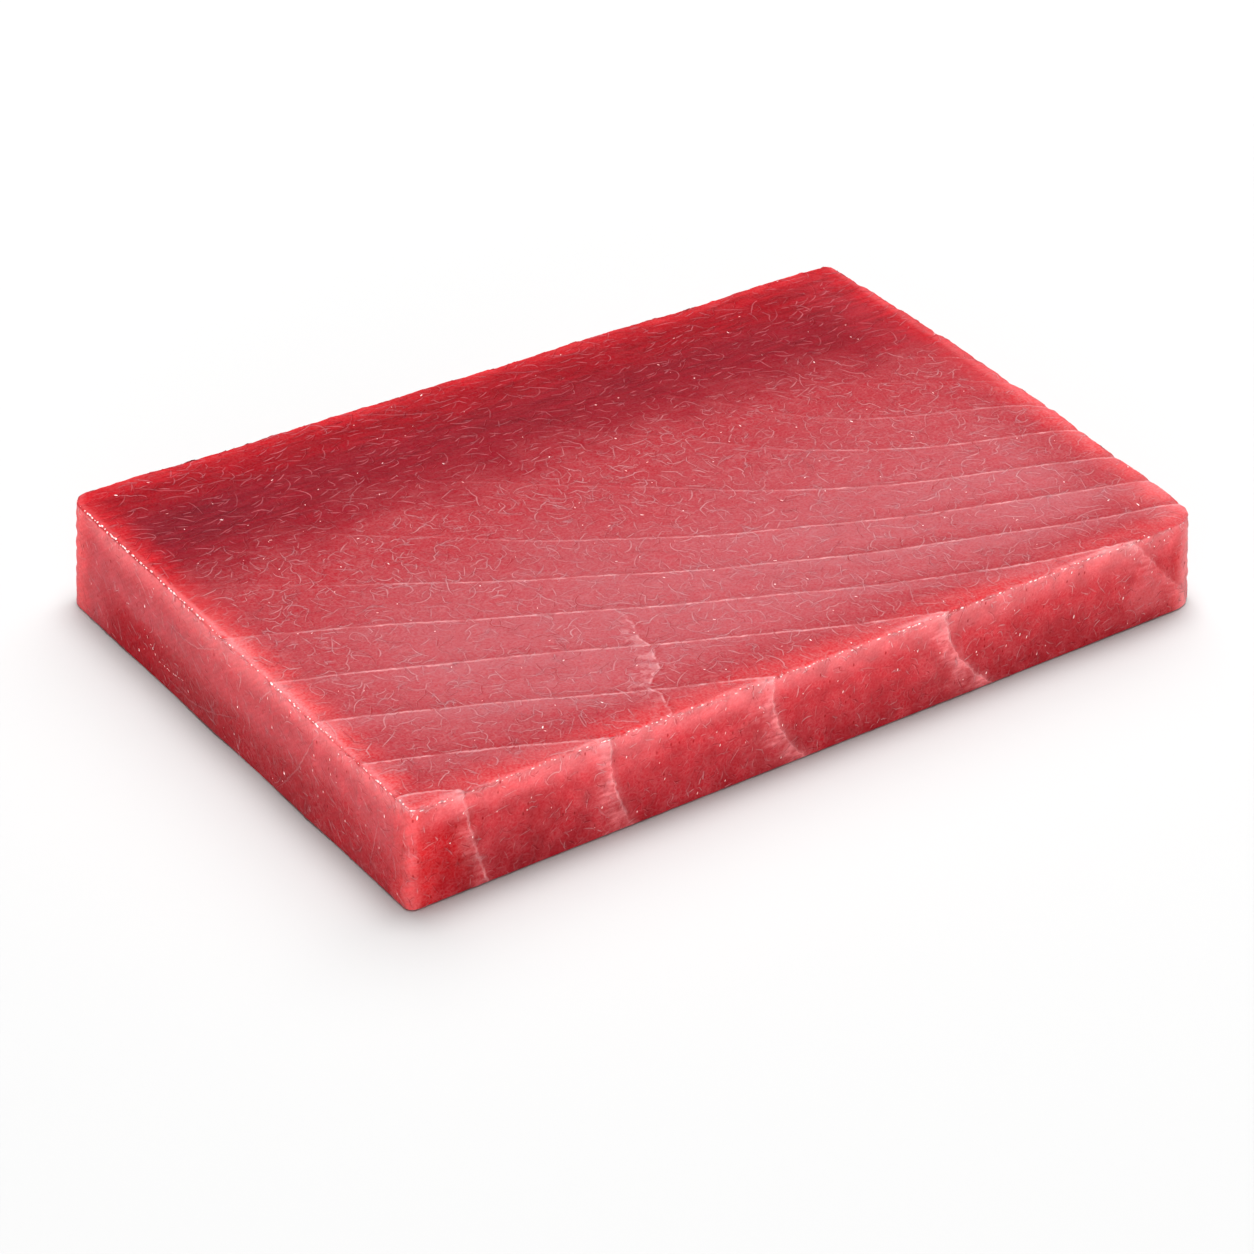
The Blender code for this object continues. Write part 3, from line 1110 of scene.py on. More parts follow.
    def mottled(self, colour: Signal) -> Signal:
        """Uneven brightness, from broad patches down to a fine grain.

        Args:
            colour: The even colour.

        Returns:
            The uneven colour.
        """
        nodes, grain = self.nodes, self.grain - 0.5
        shade = (self.patches - 0.5) * (self.on_side * 0.40 + self.on_front * 0.40 + 0.10)
        shade = shade + grain * (self.on_front * 0.08 + 0.09) + (self.drift - 0.5) * 0.10
        shade = shade + (self.streaks - 0.5) * (self.dark * self.on_top * 0.80 + 0.05)
        level, steep = self.look.hair_slope
        run = self.y * level + self.z * steep
        rise = (self.z * level - self.y * steep) * 0.12
        hair = nodes.noise(nodes.joined(run, rise, self.x * 0.2), 0.7, 2.0)
        shade = shade + (hair - 0.5) * self.on_left * 0.42 + 1.0
        beside_corner = self.x.ramp(38.0, 28.0) * self.x.ramp(4.0, 12.0) * self.depth.ramp(2.0, 7.0)
        shade = shade - self.on_front * beside_corner * 0.15
        inwards = self.inset.ramp(10.0, 5.0) * self.far.ramp(60.0, 90.0)
        milk = grain * self.on_side.most(self.dark).most(inwards).ramp(0.0, 1.0, 0.28, 0.12)
        value = nodes.add("ShaderNodeHueSaturation")
        nodes.feed(value.inputs["Color"], colour)
        nodes.feed(value.inputs["Saturation"], 1.0 - milk)
        nodes.feed(value.inputs["Value"], shade)
        return Signal(nodes, value.outputs["Color"])


@dataclass(frozen=True)
class MoistureFinish:
    """A glossy bead of juice, with a pale colour that is a painted glint."""

    # pale colour: a painted glint
    colour: Colour = (0.90, 0.76, 0.75)
    pink: Colour = (0.76, 0.36, 0.35)
    front: tuple = (-61.0, -64.0)
    front_share: float = 0.45
    roughness: float = 0.12
    ior: float = 1.34
    coat: float = 0.6
    coat_roughness: float = 0.06

    def build(self) -> bpy.types.Material:
        """Draws the material.

        Returns:
            The finished material.
        """
        nodes = Nodes("moisture_and_painted_glint")
        place = nodes.moved(nodes.place(), (1.0 / MM,) * 3)
        in_front = nodes.parts(place)[1].ramp(*self.front) * self.front_share
        tint = nodes.noise(place, 1.3).ramp(0.35, 0.65, 0.25, 1.0).most(in_front)
        nodes.feed(nodes.shader.inputs["Base Color"], nodes.blend(tint, self.colour, self.pink))
        nodes.set(Roughness=self.roughness, IOR=self.ior)
        nodes.set(Coat_Weight=self.coat, Coat_Roughness=self.coat_roughness)
        return nodes.material


@dataclass(frozen=True)
class FloorFinish:
    """The plain white floor."""

    colour: Colour = (0.455, 0.455, 0.455)

    def build(self) -> bpy.types.Material:
        """Draws the material.

        Returns:
            The finished material.
        """
        nodes = Nodes("studio_floor")
        nodes.set(Base_Color=self.colour, Roughness=1.0, Specular_IOR_Level=0.0)
        return nodes.material


def choose(piece: bpy.types.Object, kind: str, chosen: list | np.ndarray) -> None:
    """Selects some edges or faces of a piece and nothing else, and goes into edit mode.

    Args:
        piece: The piece.
        kind: EDGE or FACE.
        chosen: True for each one to select.
    """
    bpy.ops.object.mode_set(mode="EDIT")
    bpy.ops.mesh.select_mode(type=kind)
    bpy.ops.mesh.select_all(action="DESELECT")
    bpy.ops.object.mode_set(mode="OBJECT")
    parts = piece.data.edges if kind == "EDGE" else piece.data.polygons
    parts.foreach_set("select", chosen)
    bpy.ops.object.mode_set(mode="EDIT")


def read_points(mesh: bpy.types.Mesh) -> np.ndarray:
    """Reads where a mesh's points are.

    Args:
        mesh: The mesh.

    Returns:
        The points, one a row.
    """
    flat = np.empty(len(mesh.vertices) * 3)
    mesh.vertices.foreach_get("co", flat)
    return flat.reshape(-1, 3)


def write_values(mesh: bpy.types.Mesh, name: str, values: np.ndarray) -> None:
    """Keeps one number a point in a mesh, for its material."""
    mesh.attributes.new(name, "FLOAT", "POINT").data.foreach_set("value", values.astype(np.float32))


class Layer:
    """A sub-assembly of the loin. Its pieces ride with the solid."""

    def new_piece(self, name: str, places: list, faces: list[tuple]) -> bpy.types.Object:
        """A smooth mesh piece in the row frame.

        Args:
            name: The piece's name.
            places: The mesh's points.
            faces: The numbers of each face's points.

        Returns:
            The piece.
        """
        mesh = bpy.data.meshes.new(name)
        mesh.from_pydata(places, [], faces)
        mesh.shade_smooth()
        piece = bpy.data.objects.new(name, mesh)
        bpy.context.collection.objects.link(piece)
        return piece

    def dress(self, piece: bpy.types.Object, material: bpy.types.Material) -> None:
        """Gives the piece its finish and its place on the frame.

        Args:
            piece: The piece.
            material: Its finish.
        """
        piece.data.materials.clear()
        piece.data.materials.append(material)
        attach(piece, BODY)


@dataclass
class Flesh(Layer):
    """The block of flesh, as one fine mesh that stands for the solid."""

    cut: Cut = field(default_factory=Cut)
    vein: Vein = field(default_factory=Vein)
    cuts_along: tuple = (72, 3)
    cuts_across: tuple = (49, 3)
    cuts_up: tuple = (37,)
    edge_cells: int = 4
    snap_margin: float = 0.0021
    snap_passes: int = 2
    probe: float = 1e-5
    least_span: float = 1e-5
    step: float = 0.00012
    lip: float = 0.00009
    lip_width: float = 0.00030
    scallop: float = 0.00016
    scallop_pitch: float = 0.0031
    dimple: float = 0.00010
    fibre: float = 0.00005
    notch: float = 0.00040
    notch_width: float = 0.00080
    base_radius: float = 0.00050
    top_radius: float = 0.00060
    step_in_front: float = 0.30
    edge_reach: tuple = (0.0026, 0.0006)
    upright_reach: tuple = (0.0040, 0.0012)
    notch_reach: tuple = (0.0040, 0.0008)
    band_slopes: tuple = (10.0, 400.0)
    shift: Vector = field(default_factory=Vector)

    def lines(self, length: float, near: float, far: float, cuts: tuple) -> np.ndarray:
        """Places of the mesh's lines along one side.

        Args:
            length: The side's length.
            near: Width of the rounded edge at its start.
            far: Width of the rounded edge at its end.
            cuts: How often each operator cuts what the one before it left.

        Returns:
            The places, close together on the rounded edges and even between them.
        """
        cells = math.prod(cut + 1 for cut in cuts)
        start = np.linspace(0.0, near, self.edge_cells + 1)
        end = np.linspace(length - far, length, self.edge_cells + 1)
        middle = np.linspace(start[-1], end[0], cells - 2 * self.edge_cells + 1)
        return np.concatenate([start, middle[1:-1], end])

    def lined_box(self) -> tuple[bpy.types.Object, np.ndarray]:
        """A box without its base, cut along lines on all three axes.

        Returns:
            The box, and each point's place in the straight block.
        """
        cut = self.cut
        bpy.ops.object.select_all(action="DESELECT")
        bpy.ops.mesh.primitive_cube_add(size=1.0, location=(0.5, 0.5, 0.5))
        bpy.ops.object.transform_apply(location=True, rotation=False, scale=False)
        box = bpy.context.object
        choose(box, "FACE", [face.normal.z < -0.5 for face in box.data.polygons])
        bpy.ops.mesh.delete(type="ONLY_FACE")
        bpy.ops.object.mode_set(mode="OBJECT")
        for axis, cuts in enumerate((self.cuts_along, self.cuts_across, self.cuts_up)):
            for number in cuts:
                points = read_points(box.data)
                ends = np.empty(len(box.data.edges) * 2, dtype=np.int32)
                box.data.edges.foreach_get("vertices", ends)
                ends = ends.reshape(-1, 2)
                span = np.abs(points[ends[:, 0], axis] - points[ends[:, 1], axis])
                choose(box, "EDGE", span > self.least_span)
                bpy.ops.mesh.subdivide(number_cuts=number)
                bpy.ops.object.mode_set(mode="OBJECT")
        points = read_points(box.data)
        sides = (
            self.lines(cut.length, cut.top_radius, cut.top_radius, self.cuts_along),
            self.lines(cut.width, cut.top_radius, cut.top_radius, self.cuts_across),
            self.lines(cut.thickness, cut.base_radius, cut.top_radius, self.cuts_up),
        )
        for axis, places in enumerate(sides):
            points[:, axis] = places[np.rint(points[:, axis] * (len(places) - 1)).astype(int)]
        return box, points

    def snap(self, points: np.ndarray) -> np.ndarray:
        """Slides the points nearest to each wall of tissue onto it.

        Args:
            points: Places in the block's frame.

        Returns:
            The places, so that each band ends along a clean line.
        """
        cut = self.cut
        cell = cut.length / math.prod(number + 1 for number in self.cuts_along)
        x, y, z = points.T
        within_x = (x > self.snap_margin) & (x < cut.length - self.snap_margin)
        within_y = (y > self.snap_margin) & (y < cut.width - self.snap_margin)
        high = z > self.snap_margin
        for axis, chosen in ((1, high & within_y), (0, high & within_x & ~within_y)):
            step = np.zeros(3)
            step[axis] = self.probe
            some = points[chosen]
            for _ in range(self.snap_passes):
                band = cut.band(some)
                slope = (cut.band(some + step) - band) / self.probe
                slide = (np.rint(band) - band) / slope
                near = (np.abs(slide) < cell / 2.0) & (slope > 0.0)
                some[near, axis] += slide[near]
            points[chosen] = some
        return points

    def band_widths(self, points: np.ndarray, normal: np.ndarray) -> np.ndarray:
        """How wide the bands are on the surface.

        Args:
            points: Places in the block's frame.
            normal: Each place's way out.

        Returns:
            Metres of surface for each whole band.
        """
        unit = normal / np.maximum(np.linalg.norm(normal, axis=1), 1e-9)[:, None]
        share = self.cut.share_of_front(points)
        widths = np.zeros(len(points))
        for number, weight in ((self.cut.inner_band, 1.0 - share), (self.cut.front_band, share)):
            band = number(points)
            slope = np.empty_like(points)
            for axis in range(3):
                step = np.zeros(3)
                step[axis] = self.probe
                slope[:, axis] = (number(points + step) - band) / self.probe
            slope -= (slope * unit).sum(axis=1)[:, None] * unit
            widths += weight / np.clip(np.linalg.norm(slope, axis=1), *self.band_slopes)
        return widths

    def fine_relief(self, points: np.ndarray, inset: np.ndarray) -> np.ndarray:
        """The relief that only the fine mesh can show.

        Args:
            points: Places in the block's frame.
            inset: Each place's distance inwards from the nearest side.

        Returns:
            Heights over the surface: scalloped edges, dimples and fibres.
        """
        x, y, z = points.T
        edge = smooth_step(np.hypot(inset, self.cut.thickness - z), *self.edge_reach)
        from_ends, from_faces = np.minimum(x, self.cut.length - x), np.minimum(y, self.cut.width - y)
        upright = smooth_step(np.hypot(from_ends, from_faces), *self.upright_reach)
        turn = 2.0 * np.pi / self.scallop_pitch
        wobble = 2.0 * roughness_at(points, 0.006, 3.0)
        frayed = roughness_at(points, 0.0011, 17.0) + 0.8 * roughness_at(points, 0.0024, 23.0)
        uneven = 0.55 + 0.9 * roughness_at(points, 0.005, 29.0)
        beads = 0.6 * frayed * edge + np.sin(turn * z + wobble) * upright * uneven
        dimples = roughness_at(points, 0.0034, 11.0) + 0.6 * roughness_at(points, 0.0017, 5.0)
        fibres = roughness_at(points * np.array([0.22, 1.0, 1.0]), 0.0011, 7.0)
        return self.scallop * beads + self.dimple * dimples + self.fibre * fibres

    def build(self) -> bpy.types.Object:
        """Models the block.

        Returns:
            The finished piece, in the row frame.
        """
        self.cut = cut = replace(self.cut, base_radius=self.base_radius, top_radius=self.top_radius)
        piece, points = self.lined_box()
        piece.name = "cut_flesh"
        piece.data.name = "cut_flesh"
        points = self.snap(points)
        straight = points.copy()
        relief = replace(cut, band_step=self.step).band_relief(points)
        relief *= 1.0 + (self.step_in_front - 1.0) * cut.share_of_front(points)
        out, inset = cut.round_corners(points)
        normal = cut.round_edges(points, out, inset)
        band, width = cut.band(straight), self.band_widths(straight, normal)
        away = (band - np.rint(band)) * width
        relief += self.fine_relief(straight, inset) + self.lip * np.exp(-((away / self.lip_width) ** 2))
        at_right = smooth_step(cut.length - straight[:, 0], *self.notch_reach)
        relief -= self.notch * at_right * np.exp(-((away / self.notch_width) ** 2))
        write_values(piece.data, "band", band)
        write_values(piece.data, "band_width", width)
        write_values(piece.data, "depth", cut.thickness - straight[:, 2])
        write_values(piece.data, "inset", inset)
        write_values(piece.data, "vein", self.vein.distance(straight))
        write_values(piece.data, "thread", np.zeros(len(points)))
        normal[:, 2] = np.maximum(normal[:, 2], 0.0)
        normal *= smooth_step(points[:, 2], 0.0, cut.base_radius)[:, None]
        points = cut.uneven(points + normal * relief[:, None])
        low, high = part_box(NODE)
        middle = np.array([(low.x + high.x) / 2.0, (low.y + high.y) / 2.0])
        self.shift = Vector((*(middle - (points[:, :2].max(axis=0) + points[:, :2].min(axis=0)) / 2.0), 0.0))
        points += np.array(self.shift)
        piece.data.vertices.foreach_set("co", points.ravel())
        piece.data.update()
        self.close_base()
        bpy.ops.object.shade_smooth()
        return piece

    def close_base(self) -> None:
        """Fills the open base with one flat face and turns all faces outwards."""
        bpy.ops.object.mode_set(mode="EDIT")
        bpy.ops.mesh.select_mode(type="VERT")
        bpy.ops.mesh.select_all(action="DESELECT")
        bpy.ops.mesh.select_non_manifold()
        bpy.ops.mesh.edge_face_add()
        bpy.ops.mesh.select_all(action="SELECT")
        bpy.ops.mesh.normals_make_consistent(inside=False)
        bpy.ops.object.mode_set(mode="OBJECT")

    def dress(self, piece: bpy.types.Object, material: bpy.types.Material) -> None:
        """Gives the piece its finish and its place on the frame, and hides the node that it stands for."""
        super().dress(piece, material)
        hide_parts(NODE)


class Skin:
    """The flesh's surface, for what lies on it."""

    def __init__(self, flesh: Flesh, piece: bpy.types.Object) -> None:
        """Reads the piece's faces and the values at its points.

        Args:
            flesh: The flesh.
            piece: The flesh's piece, once it is built.
        """
        self.cut, self.shift = flesh.cut, flesh.shift
        self.sides = (self.cut.length, self.cut.width, self.cut.thickness)
        mesh = piece.data
        self.points = read_points(mesh)
        faces = [tuple(face.vertices) for face in mesh.polygons if len(face.vertices) == 4]
        self.tree = BVHTree.FromPolygons(self.points.tolist(), faces)
        self.faces = np.array(faces)
        self.values = {}
        for name in ("band", "band_width", "vein", "depth", "inset"):
            values = np.empty(len(self.points), dtype=np.float32)
            mesh.attributes[name].data.foreach_get("value", values)
            self.values[name] = values

    def seat(self, place: Vector) -> Vector:
        """The surface's point, in the row frame, that a place on the straight block goes to."""
        return self.nearest(Vector(self.cut.uneven(np.array([tuple(place)]))[0]) + self.shift)[0]

    def nearest(self, place: Vector) -> tuple[Vector, Vector]:
        """The surface's nearest point and its way out."""
        point, normal, _, _ = self.tree.find_nearest(place)
        return point, normal

    def read(self, places: list[Vector]) -> dict[str, np.ndarray]:
        """The surface's own values under some places.

        Args:
            places: Places near the surface.

        Returns:
            For each name, one value a place.
        """
        found = [self.tree.find_nearest(place) for place in places]
        corners = self.faces[[face for _, _, face, _ in found]]
        points = np.array([tuple(point) for point, _, _, _ in found])
        start = self.points[corners[:, 0]]
        shares = []
        for corner in (1, 3):
            side = self.points[corners[:, corner]] - start
            share = ((points - start) * side).sum(axis=1) / np.maximum((side * side).sum(axis=1), 1e-12)
            shares.append(np.clip(share, 0.0, 1.0))
        u, v = shares
        weights = np.stack([(1.0 - u) * (1.0 - v), u * (1.0 - v), u * v, (1.0 - u) * v], axis=1)
        return {name: (values[corners] * weights).sum(axis=1) for name, values in self.values.items()}


@dataclass(frozen=True)
class Manner:
    """How the fine lines of one course look."""

    shortest: float
    usual: float
    longest: float
    bend: float
    turning: float
    kinks: float
    faintest: float
    commonest: float
    strongest: float
    # share of lines that are creases of painted shade
    creases: float
    width: float


MANNERS = {
    Course.CURL: Manner(0.0018, 0.0046, 0.0110, 110.0, 95.0, 0.20, 0.28, 0.48, 1.00, 0.20, 0.84),
    Course.SQUIGGLE: Manner(0.0010, 0.0021, 0.0050, 150.0, 130.0, 0.17, 0.14, 0.28, 0.75, 0.46, 0.76),
    Course.STREAK: Manner(0.0014, 0.0034, 0.0090, 80.0, 80.0, 0.08, 0.28, 0.66, 1.00, 0.40, 0.82),
    Course.FIBRE: Manner(0.0010, 0.0020, 0.0060, 60.0, 60.0, 0.02, 0.10, 0.26, 0.60, 0.36, 0.82),
    Course.WISP: Manner(0.0008, 0.0012, 0.0024, 150.0, 150.0, 0.15, 0.25, 0.60, 1.00, 0.36, 0.85),
}


@dataclass(frozen=True)
class Mark:
    """One longer line that stands out, as places in the block's frame."""

    strength: float
    line: tuple


# where a line begins in the block's frame, the direction it sets out in, and its course
Start = tuple[Vector, Vector, Course]

# at each step along a line: its place in the row frame, the way out of the surface and the way sideways
Path = list[tuple[Vector, Vector, Vector]]

# where a bead lies in the block's frame, its long direction and its radius
Spot = tuple[Vector, Vector, float]


@dataclass
class Threads(Layer):
    """Fine threads of tissue and creases of painted shade in the flesh, as narrow ridges that lie on its
    surface.
    """

    skin: Skin
    name: str
    on_top: bool
    forks: float = 0.30
    fork_share: float = 0.9
    clearance: float = 0.0009
    pitch_on_top: float = 0.0026
    pitch_on_sides: float = 0.0022
    streaks_begin: float = 0.62
    streaks_full: float = 0.80
    streaks_spread: float = 0.12
    streaks_turn: float = 0.32
    more_streaks: float = 0.85
    smooth_from: float = 0.60
    smoother: float = 0.80
    comb_share: float = 0.85
    comb_reach: float = 0.0090
    comb_turn: float = 0.35
    hair_share: float = 0.6
    hair_slope: float = 2.49
    lowest: float = 0.0008
    bare_rim: float = 0.006
    fringe_pitch: float = 0.0007
    fringe_depths: tuple = (-0.0002, 0.0022, 0.0003)
    fringe_patch: float = 0.007
    fringe_gaps: tuple = (-0.5, 0.3)
    level_wisps: float = 0.5
    level_turn: float = 0.5
    upright_turn: float = 0.6
    kink: tuple = (0.5, 1.1)
    branch: tuple = (0.7, 1.4)
    step: float = 0.00060
    waver: float = 0.00007
    half_width: float = 0.00046
    widths: tuple = (0.72, 1.15)
    blunt_ends: tuple = (0.06, 0.94)
    taper: float = 0.4
    rise: float = 0.00005
    sink: float = 0.00004
    end_strength: float = 0.6
    # painted glints at the ends of some threads
    glint_tip_share: float = 0.07
    glint_tip_strength: float = 0.85
    # each row: offset across the line, tone and lift; the tone of -0.5 is a painted shade flank beside the
    # pale crest
    profile: tuple = ((-1.0, 0.0, -1.0), (-0.25, 1.0, 1.0), (0.50, -0.5, 0.2), (1.15, 0.0, -1.0))
    marks_on_top: tuple = (
        Mark(0.45, ((0.0123, 0.1260), (0.0180, 0.1215), (0.0224, 0.1189))),
        Mark(0.45, ((0.0665, 0.1277), (0.0734, 0.1234), (0.0828, 0.1194))),
        Mark(0.40, ((0.1009, 0.1269), (0.1096, 0.1230))),
        Mark(0.40, ((0.1134, 0.1270), (0.1224, 0.1246))),
        Mark(0.40, ((0.1546, 0.1269), (0.1625, 0.1220))),
    )
    marks_on_left: tuple = (
        Mark(0.28, ((0.0900, 0.0146), (0.0830, 0.0142), (0.0775, 0.0150), (0.0733, 0.0170),
                    (0.0683, 0.0194))),
        Mark(0.30, ((0.0896, 0.0025), (0.0808, 0.0021), (0.0717, 0.0040), (0.0633, 0.0073),
                    (0.0612, 0.0088))),
        Mark(0.34, ((0.0492, 0.0205), (0.0517, 0.0184), (0.0542, 0.0155))),
        Mark(0.32, ((0.0319, 0.0207), (0.0338, 0.0180), (0.0392, 0.0092), (0.0446, 0.0032),
                    (0.0475, 0.0005))),
        Mark(0.30, ((0.0106, 0.0142), (0.0125, 0.0071), (0.0140, 0.0013))),
        Mark(0.30, ((0.1025, 0.0190), (0.1000, 0.0173), (0.0975, 0.0156))),
        Mark(0.24, ((0.0720, 0.0085), (0.0717, 0.0044), (0.0700, 0.0006))),
        Mark(-0.75, ((0.0236, 0.0206), (0.0241, 0.0180))),
        Mark(-0.60, ((0.0292, 0.0209), (0.0290, 0.0190))),
        Mark(-0.60, ((0.0166, 0.0206), (0.0170, 0.0186))),
    )
    seed: int = 7
    draw: random.Random = field(init=False)

    def __post_init__(self) -> None:
        """Starts the random numbers."""
        self.draw = random.Random(self.seed + self.on_top)

    def starts_on_top(self) -> list[Start]:
        """Where the lines on the top face begin, evenly spread.

        Returns:
            Each line's start.
        """
        draw, pitch = self.draw, self.pitch_on_top
        length, width, top = self.skin.sides
        found = []
        for row in range(round(width / pitch)):
            for column in range(round(length / pitch)):
                x, y = (column + draw.random()) * pitch, (row + draw.random()) * pitch
                if draw.random() < (x / length - self.smooth_from) * self.smoother:
                    continue
                share = (y / width - self.streaks_begin) / (self.streaks_full - self.streaks_begin)
                share += draw.gauss(0.0, self.streaks_spread)
                inset, inwards = min((x, 0.0), (length - x, math.pi), (y, math.pi / 2.0))
                if draw.random() < share:
                    for _ in range(2 if draw.random() < self.more_streaks else 1):
                        turn = draw.gauss(0.0, self.streaks_turn)
                        heading = Vector((math.cos(turn), math.sin(turn), 0.0))
                        found.append((Vector((x, y, top)), heading, Course.STREAK))
                        x, y = (column + draw.random()) * pitch, (row + draw.random()) * pitch
                    continue
                course, turn = Course.CURL, draw.uniform(-math.pi, math.pi)
                if draw.random() < self.comb_share - inset / self.comb_reach:
                    course, turn = Course.FIBRE, inwards + draw.gauss(0.0, self.comb_turn)
                heading = Vector((math.cos(turn), math.sin(turn), 0.0))
                found.append((Vector((x, y, top)), heading, course))
        return found

    def starts_on_sides(self) -> list[Start]:
        """Where the lines on the sides begin: evenly spread, and a fringe under the top edges.

        Returns:
            Each line's start.
        """
        draw, pitch = self.draw, self.pitch_on_sides
        length, width, top = self.skin.sides
        around = 2.0 * (length + width)
        found = []
        for row in range(round(top / pitch)):
            for column in range(round(around / pitch)):
                along = (column + draw.random()) * pitch % around
                height = max(self.lowest, (row + draw.random()) * pitch)
                course, turn = Course.SQUIGGLE, draw.uniform(-math.pi, math.pi)
                if along > around - width and draw.random() < self.hair_share:
                    course, turn = Course.FIBRE, self.hair_slope + draw.gauss(math.pi, self.comb_turn)
                if draw.random() < 1.0 - (top - height) / self.bare_rim:
                    continue
                found.append((*self.on_sides(along, height, turn), course))
        for number in range(int(around / self.fringe_pitch)):
            along = (number + draw.random()) * self.fringe_pitch % around
            height = top - draw.triangular(*self.fringe_depths)
            if draw.random() < self.level_wisps:
                turn = draw.gauss(0.0, self.level_turn)
            else:
                turn = draw.gauss(-math.pi / 2.0, self.upright_turn)
            if noise.noise((along / self.fringe_patch, 0.0, 0.0)) > draw.uniform(*self.fringe_gaps):
                found.append((*self.on_sides(along, height, turn), Course.WISP))
        return found

    def on_sides(self, along: float, height: float, turn: float) -> tuple[Vector, Vector]:
        """A place on the four sides.

        Args:
            along: How far around the block it lies, from the front left corner.
            height: Its height.
            turn: The direction to set out in, from level towards up.

        Returns:
            The place in the block's frame, and the direction.
        """
        length, width, _ = self.skin.sides
        corners = (
            (Vector((0.0, 0.0, height)), Vector((1.0, 0.0, 0.0)), length),
            (Vector((length, 0.0, height)), Vector((0.0, 1.0, 0.0)), width),
            (Vector((length, width, height)), Vector((-1.0, 0.0, 0.0)), length),
            (Vector((0.0, width, height)), Vector((0.0, -1.0, 0.0)), width),
        )
        for corner, way, far in corners:
            if along <= far:
                break
            along -= far
        return corner + way * along, way * math.cos(turn) + Vector((0.0, 0.0, math.sin(turn)))

    def cell(self, place: Vector) -> tuple:
        """The small cube of space that a place lies in."""
        return tuple(round(value / self.clearance) for value in place)

    def either_way(self, least: float, most: float) -> float:
        """A random turn to the left or to the right."""
        return math.copysign(self.draw.uniform(least, most), self.draw.uniform(-1.0, 1.0))

    def walk(self, start: Start, taken: set) -> Path:
        """Follows one line over the surface until it meets another.

        Args:
            start: Where it begins.
            taken: The cubes of space that other lines pass through.

        Returns:
            The line.
        """
        draw = self.draw
        place, heading, course = start
        manner = MANNERS[course]
        length = draw.triangular(manner.shortest, manner.longest, manner.usual)
        bend = draw.gauss(0.0, manner.bend)
        path = []
        for number in range(max(3, round(length / self.step))):
            point, normal = self.skin.nearest(place)
            heading = (heading - normal * heading.dot(normal)).normalized()
            across = normal.cross(heading)
            path.append((point, normal, across))
            if number > 2 and self.cell(point) in taken:
                break
            bend += draw.gauss(0.0, manner.turning)
            turn = bend * self.step
            if draw.random() < manner.kinks:
                turn = self.either_way(*self.kink)
            heading = (heading * math.cos(turn) + across * math.sin(turn)).normalized()
            place = point + heading * self.step
        return path

    def trace(self, places: list[Vector]) -> Path:
        """Follows one given line over the surface.

        Args:
            places: Places along the line, in the row frame.

        Returns:
            The line.
        """
        path = []
        for start, end in zip(places, places[1:]):
            run = end - start
            steps = max(1, round(run.length / self.step))
            for number in range(steps):
                point, normal = self.skin.nearest(start + run * (number / steps))
                across = normal.cross(run.normalized())
                path.append((point + across * self.draw.gauss(0.0, self.waver), normal, across))
        return path

    def fork(self, path: Path, taken: set) -> Path:
        """Follows a branch that leaves one line part of the way along.

        Args:
            path: The line that it leaves.
            taken: The cubes of space that other lines pass through.

        Returns:
            The branch.
        """
        at = self.draw.randrange(1, len(path) - 1)
        way = path[at + 1][0] - path[at][0]
        way.rotate(Quaternion(path[at][1], self.either_way(*self.branch)))
        return self.walk((path[at][0], way, Course.CURL), taken)

    def paths(self) -> list[tuple[Path, float, float]]:
        """All lines of this part of the surface.

        Returns:
            For each line its path, its strength, negative for a crease of painted shade, and its half width.
        """
        draw, skin = self.draw, self.skin
        found = []
        taken = set()
        starts = self.starts_on_top() if self.on_top else self.starts_on_sides()
        draw.shuffle(starts)
        for place, heading, course in starts:
            place = skin.seat(place)
            free = course is Course.WISP
            if not free and self.cell(place) in taken:
                continue
            manner = MANNERS[course]
            kind = Stroke.CREASE if draw.random() < manner.creases else Stroke.THREAD
            strength = draw.triangular(manner.faintest, manner.strongest, manner.commonest) * kind.value
            width = self.half_width * manner.width * draw.uniform(*self.widths)
            path = self.walk((place, heading, course), set() if free else taken)
            found.append((path, strength, width))
            if course is Course.CURL and len(path) > 4 and draw.random() < self.forks:
                found.append((self.fork(path, taken), strength * self.fork_share, width * self.fork_share))
            taken.update(self.cell(place) for place, _, _ in path)
        for mark in self.marks_on_top if self.on_top else self.marks_on_left:
            if self.on_top:
                places = [skin.seat(Vector((x, y, skin.cut.thickness))) for x, y in mark.line]
            else:
                places = [skin.seat(Vector((0.0, y, z))) for y, z in mark.line]
            found.append((self.trace(places), mark.strength, self.half_width))
        return found

    def ridge(self, path: Path, width: float, strengths: list[float]) -> tuple[list[Vector], list[float]]:
        """The points of one line's ridge, tapered at both ends.

        Args:
            path: The line.
            width: Its half width, negative to turn its painted shade flank to the other side.
            strengths: How strongly it shows at each of its places.

        Returns:
            The ridge's points, and each one's strength.
        """
        places, tones = [], []
        for number, (point, normal, across) in enumerate(path):
            share = number / (len(path) - 1)
            taper = math.sin(math.pi * np.clip(share, *self.blunt_ends)) ** self.taper
            for offset, tone, lift in self.profile:
                height = lift * (self.rise if lift > 0.0 else self.sink)
                places.append(point + across * width * offset * taper + normal * height)
                tones.append(strengths[number] * tone)
        return places, tones

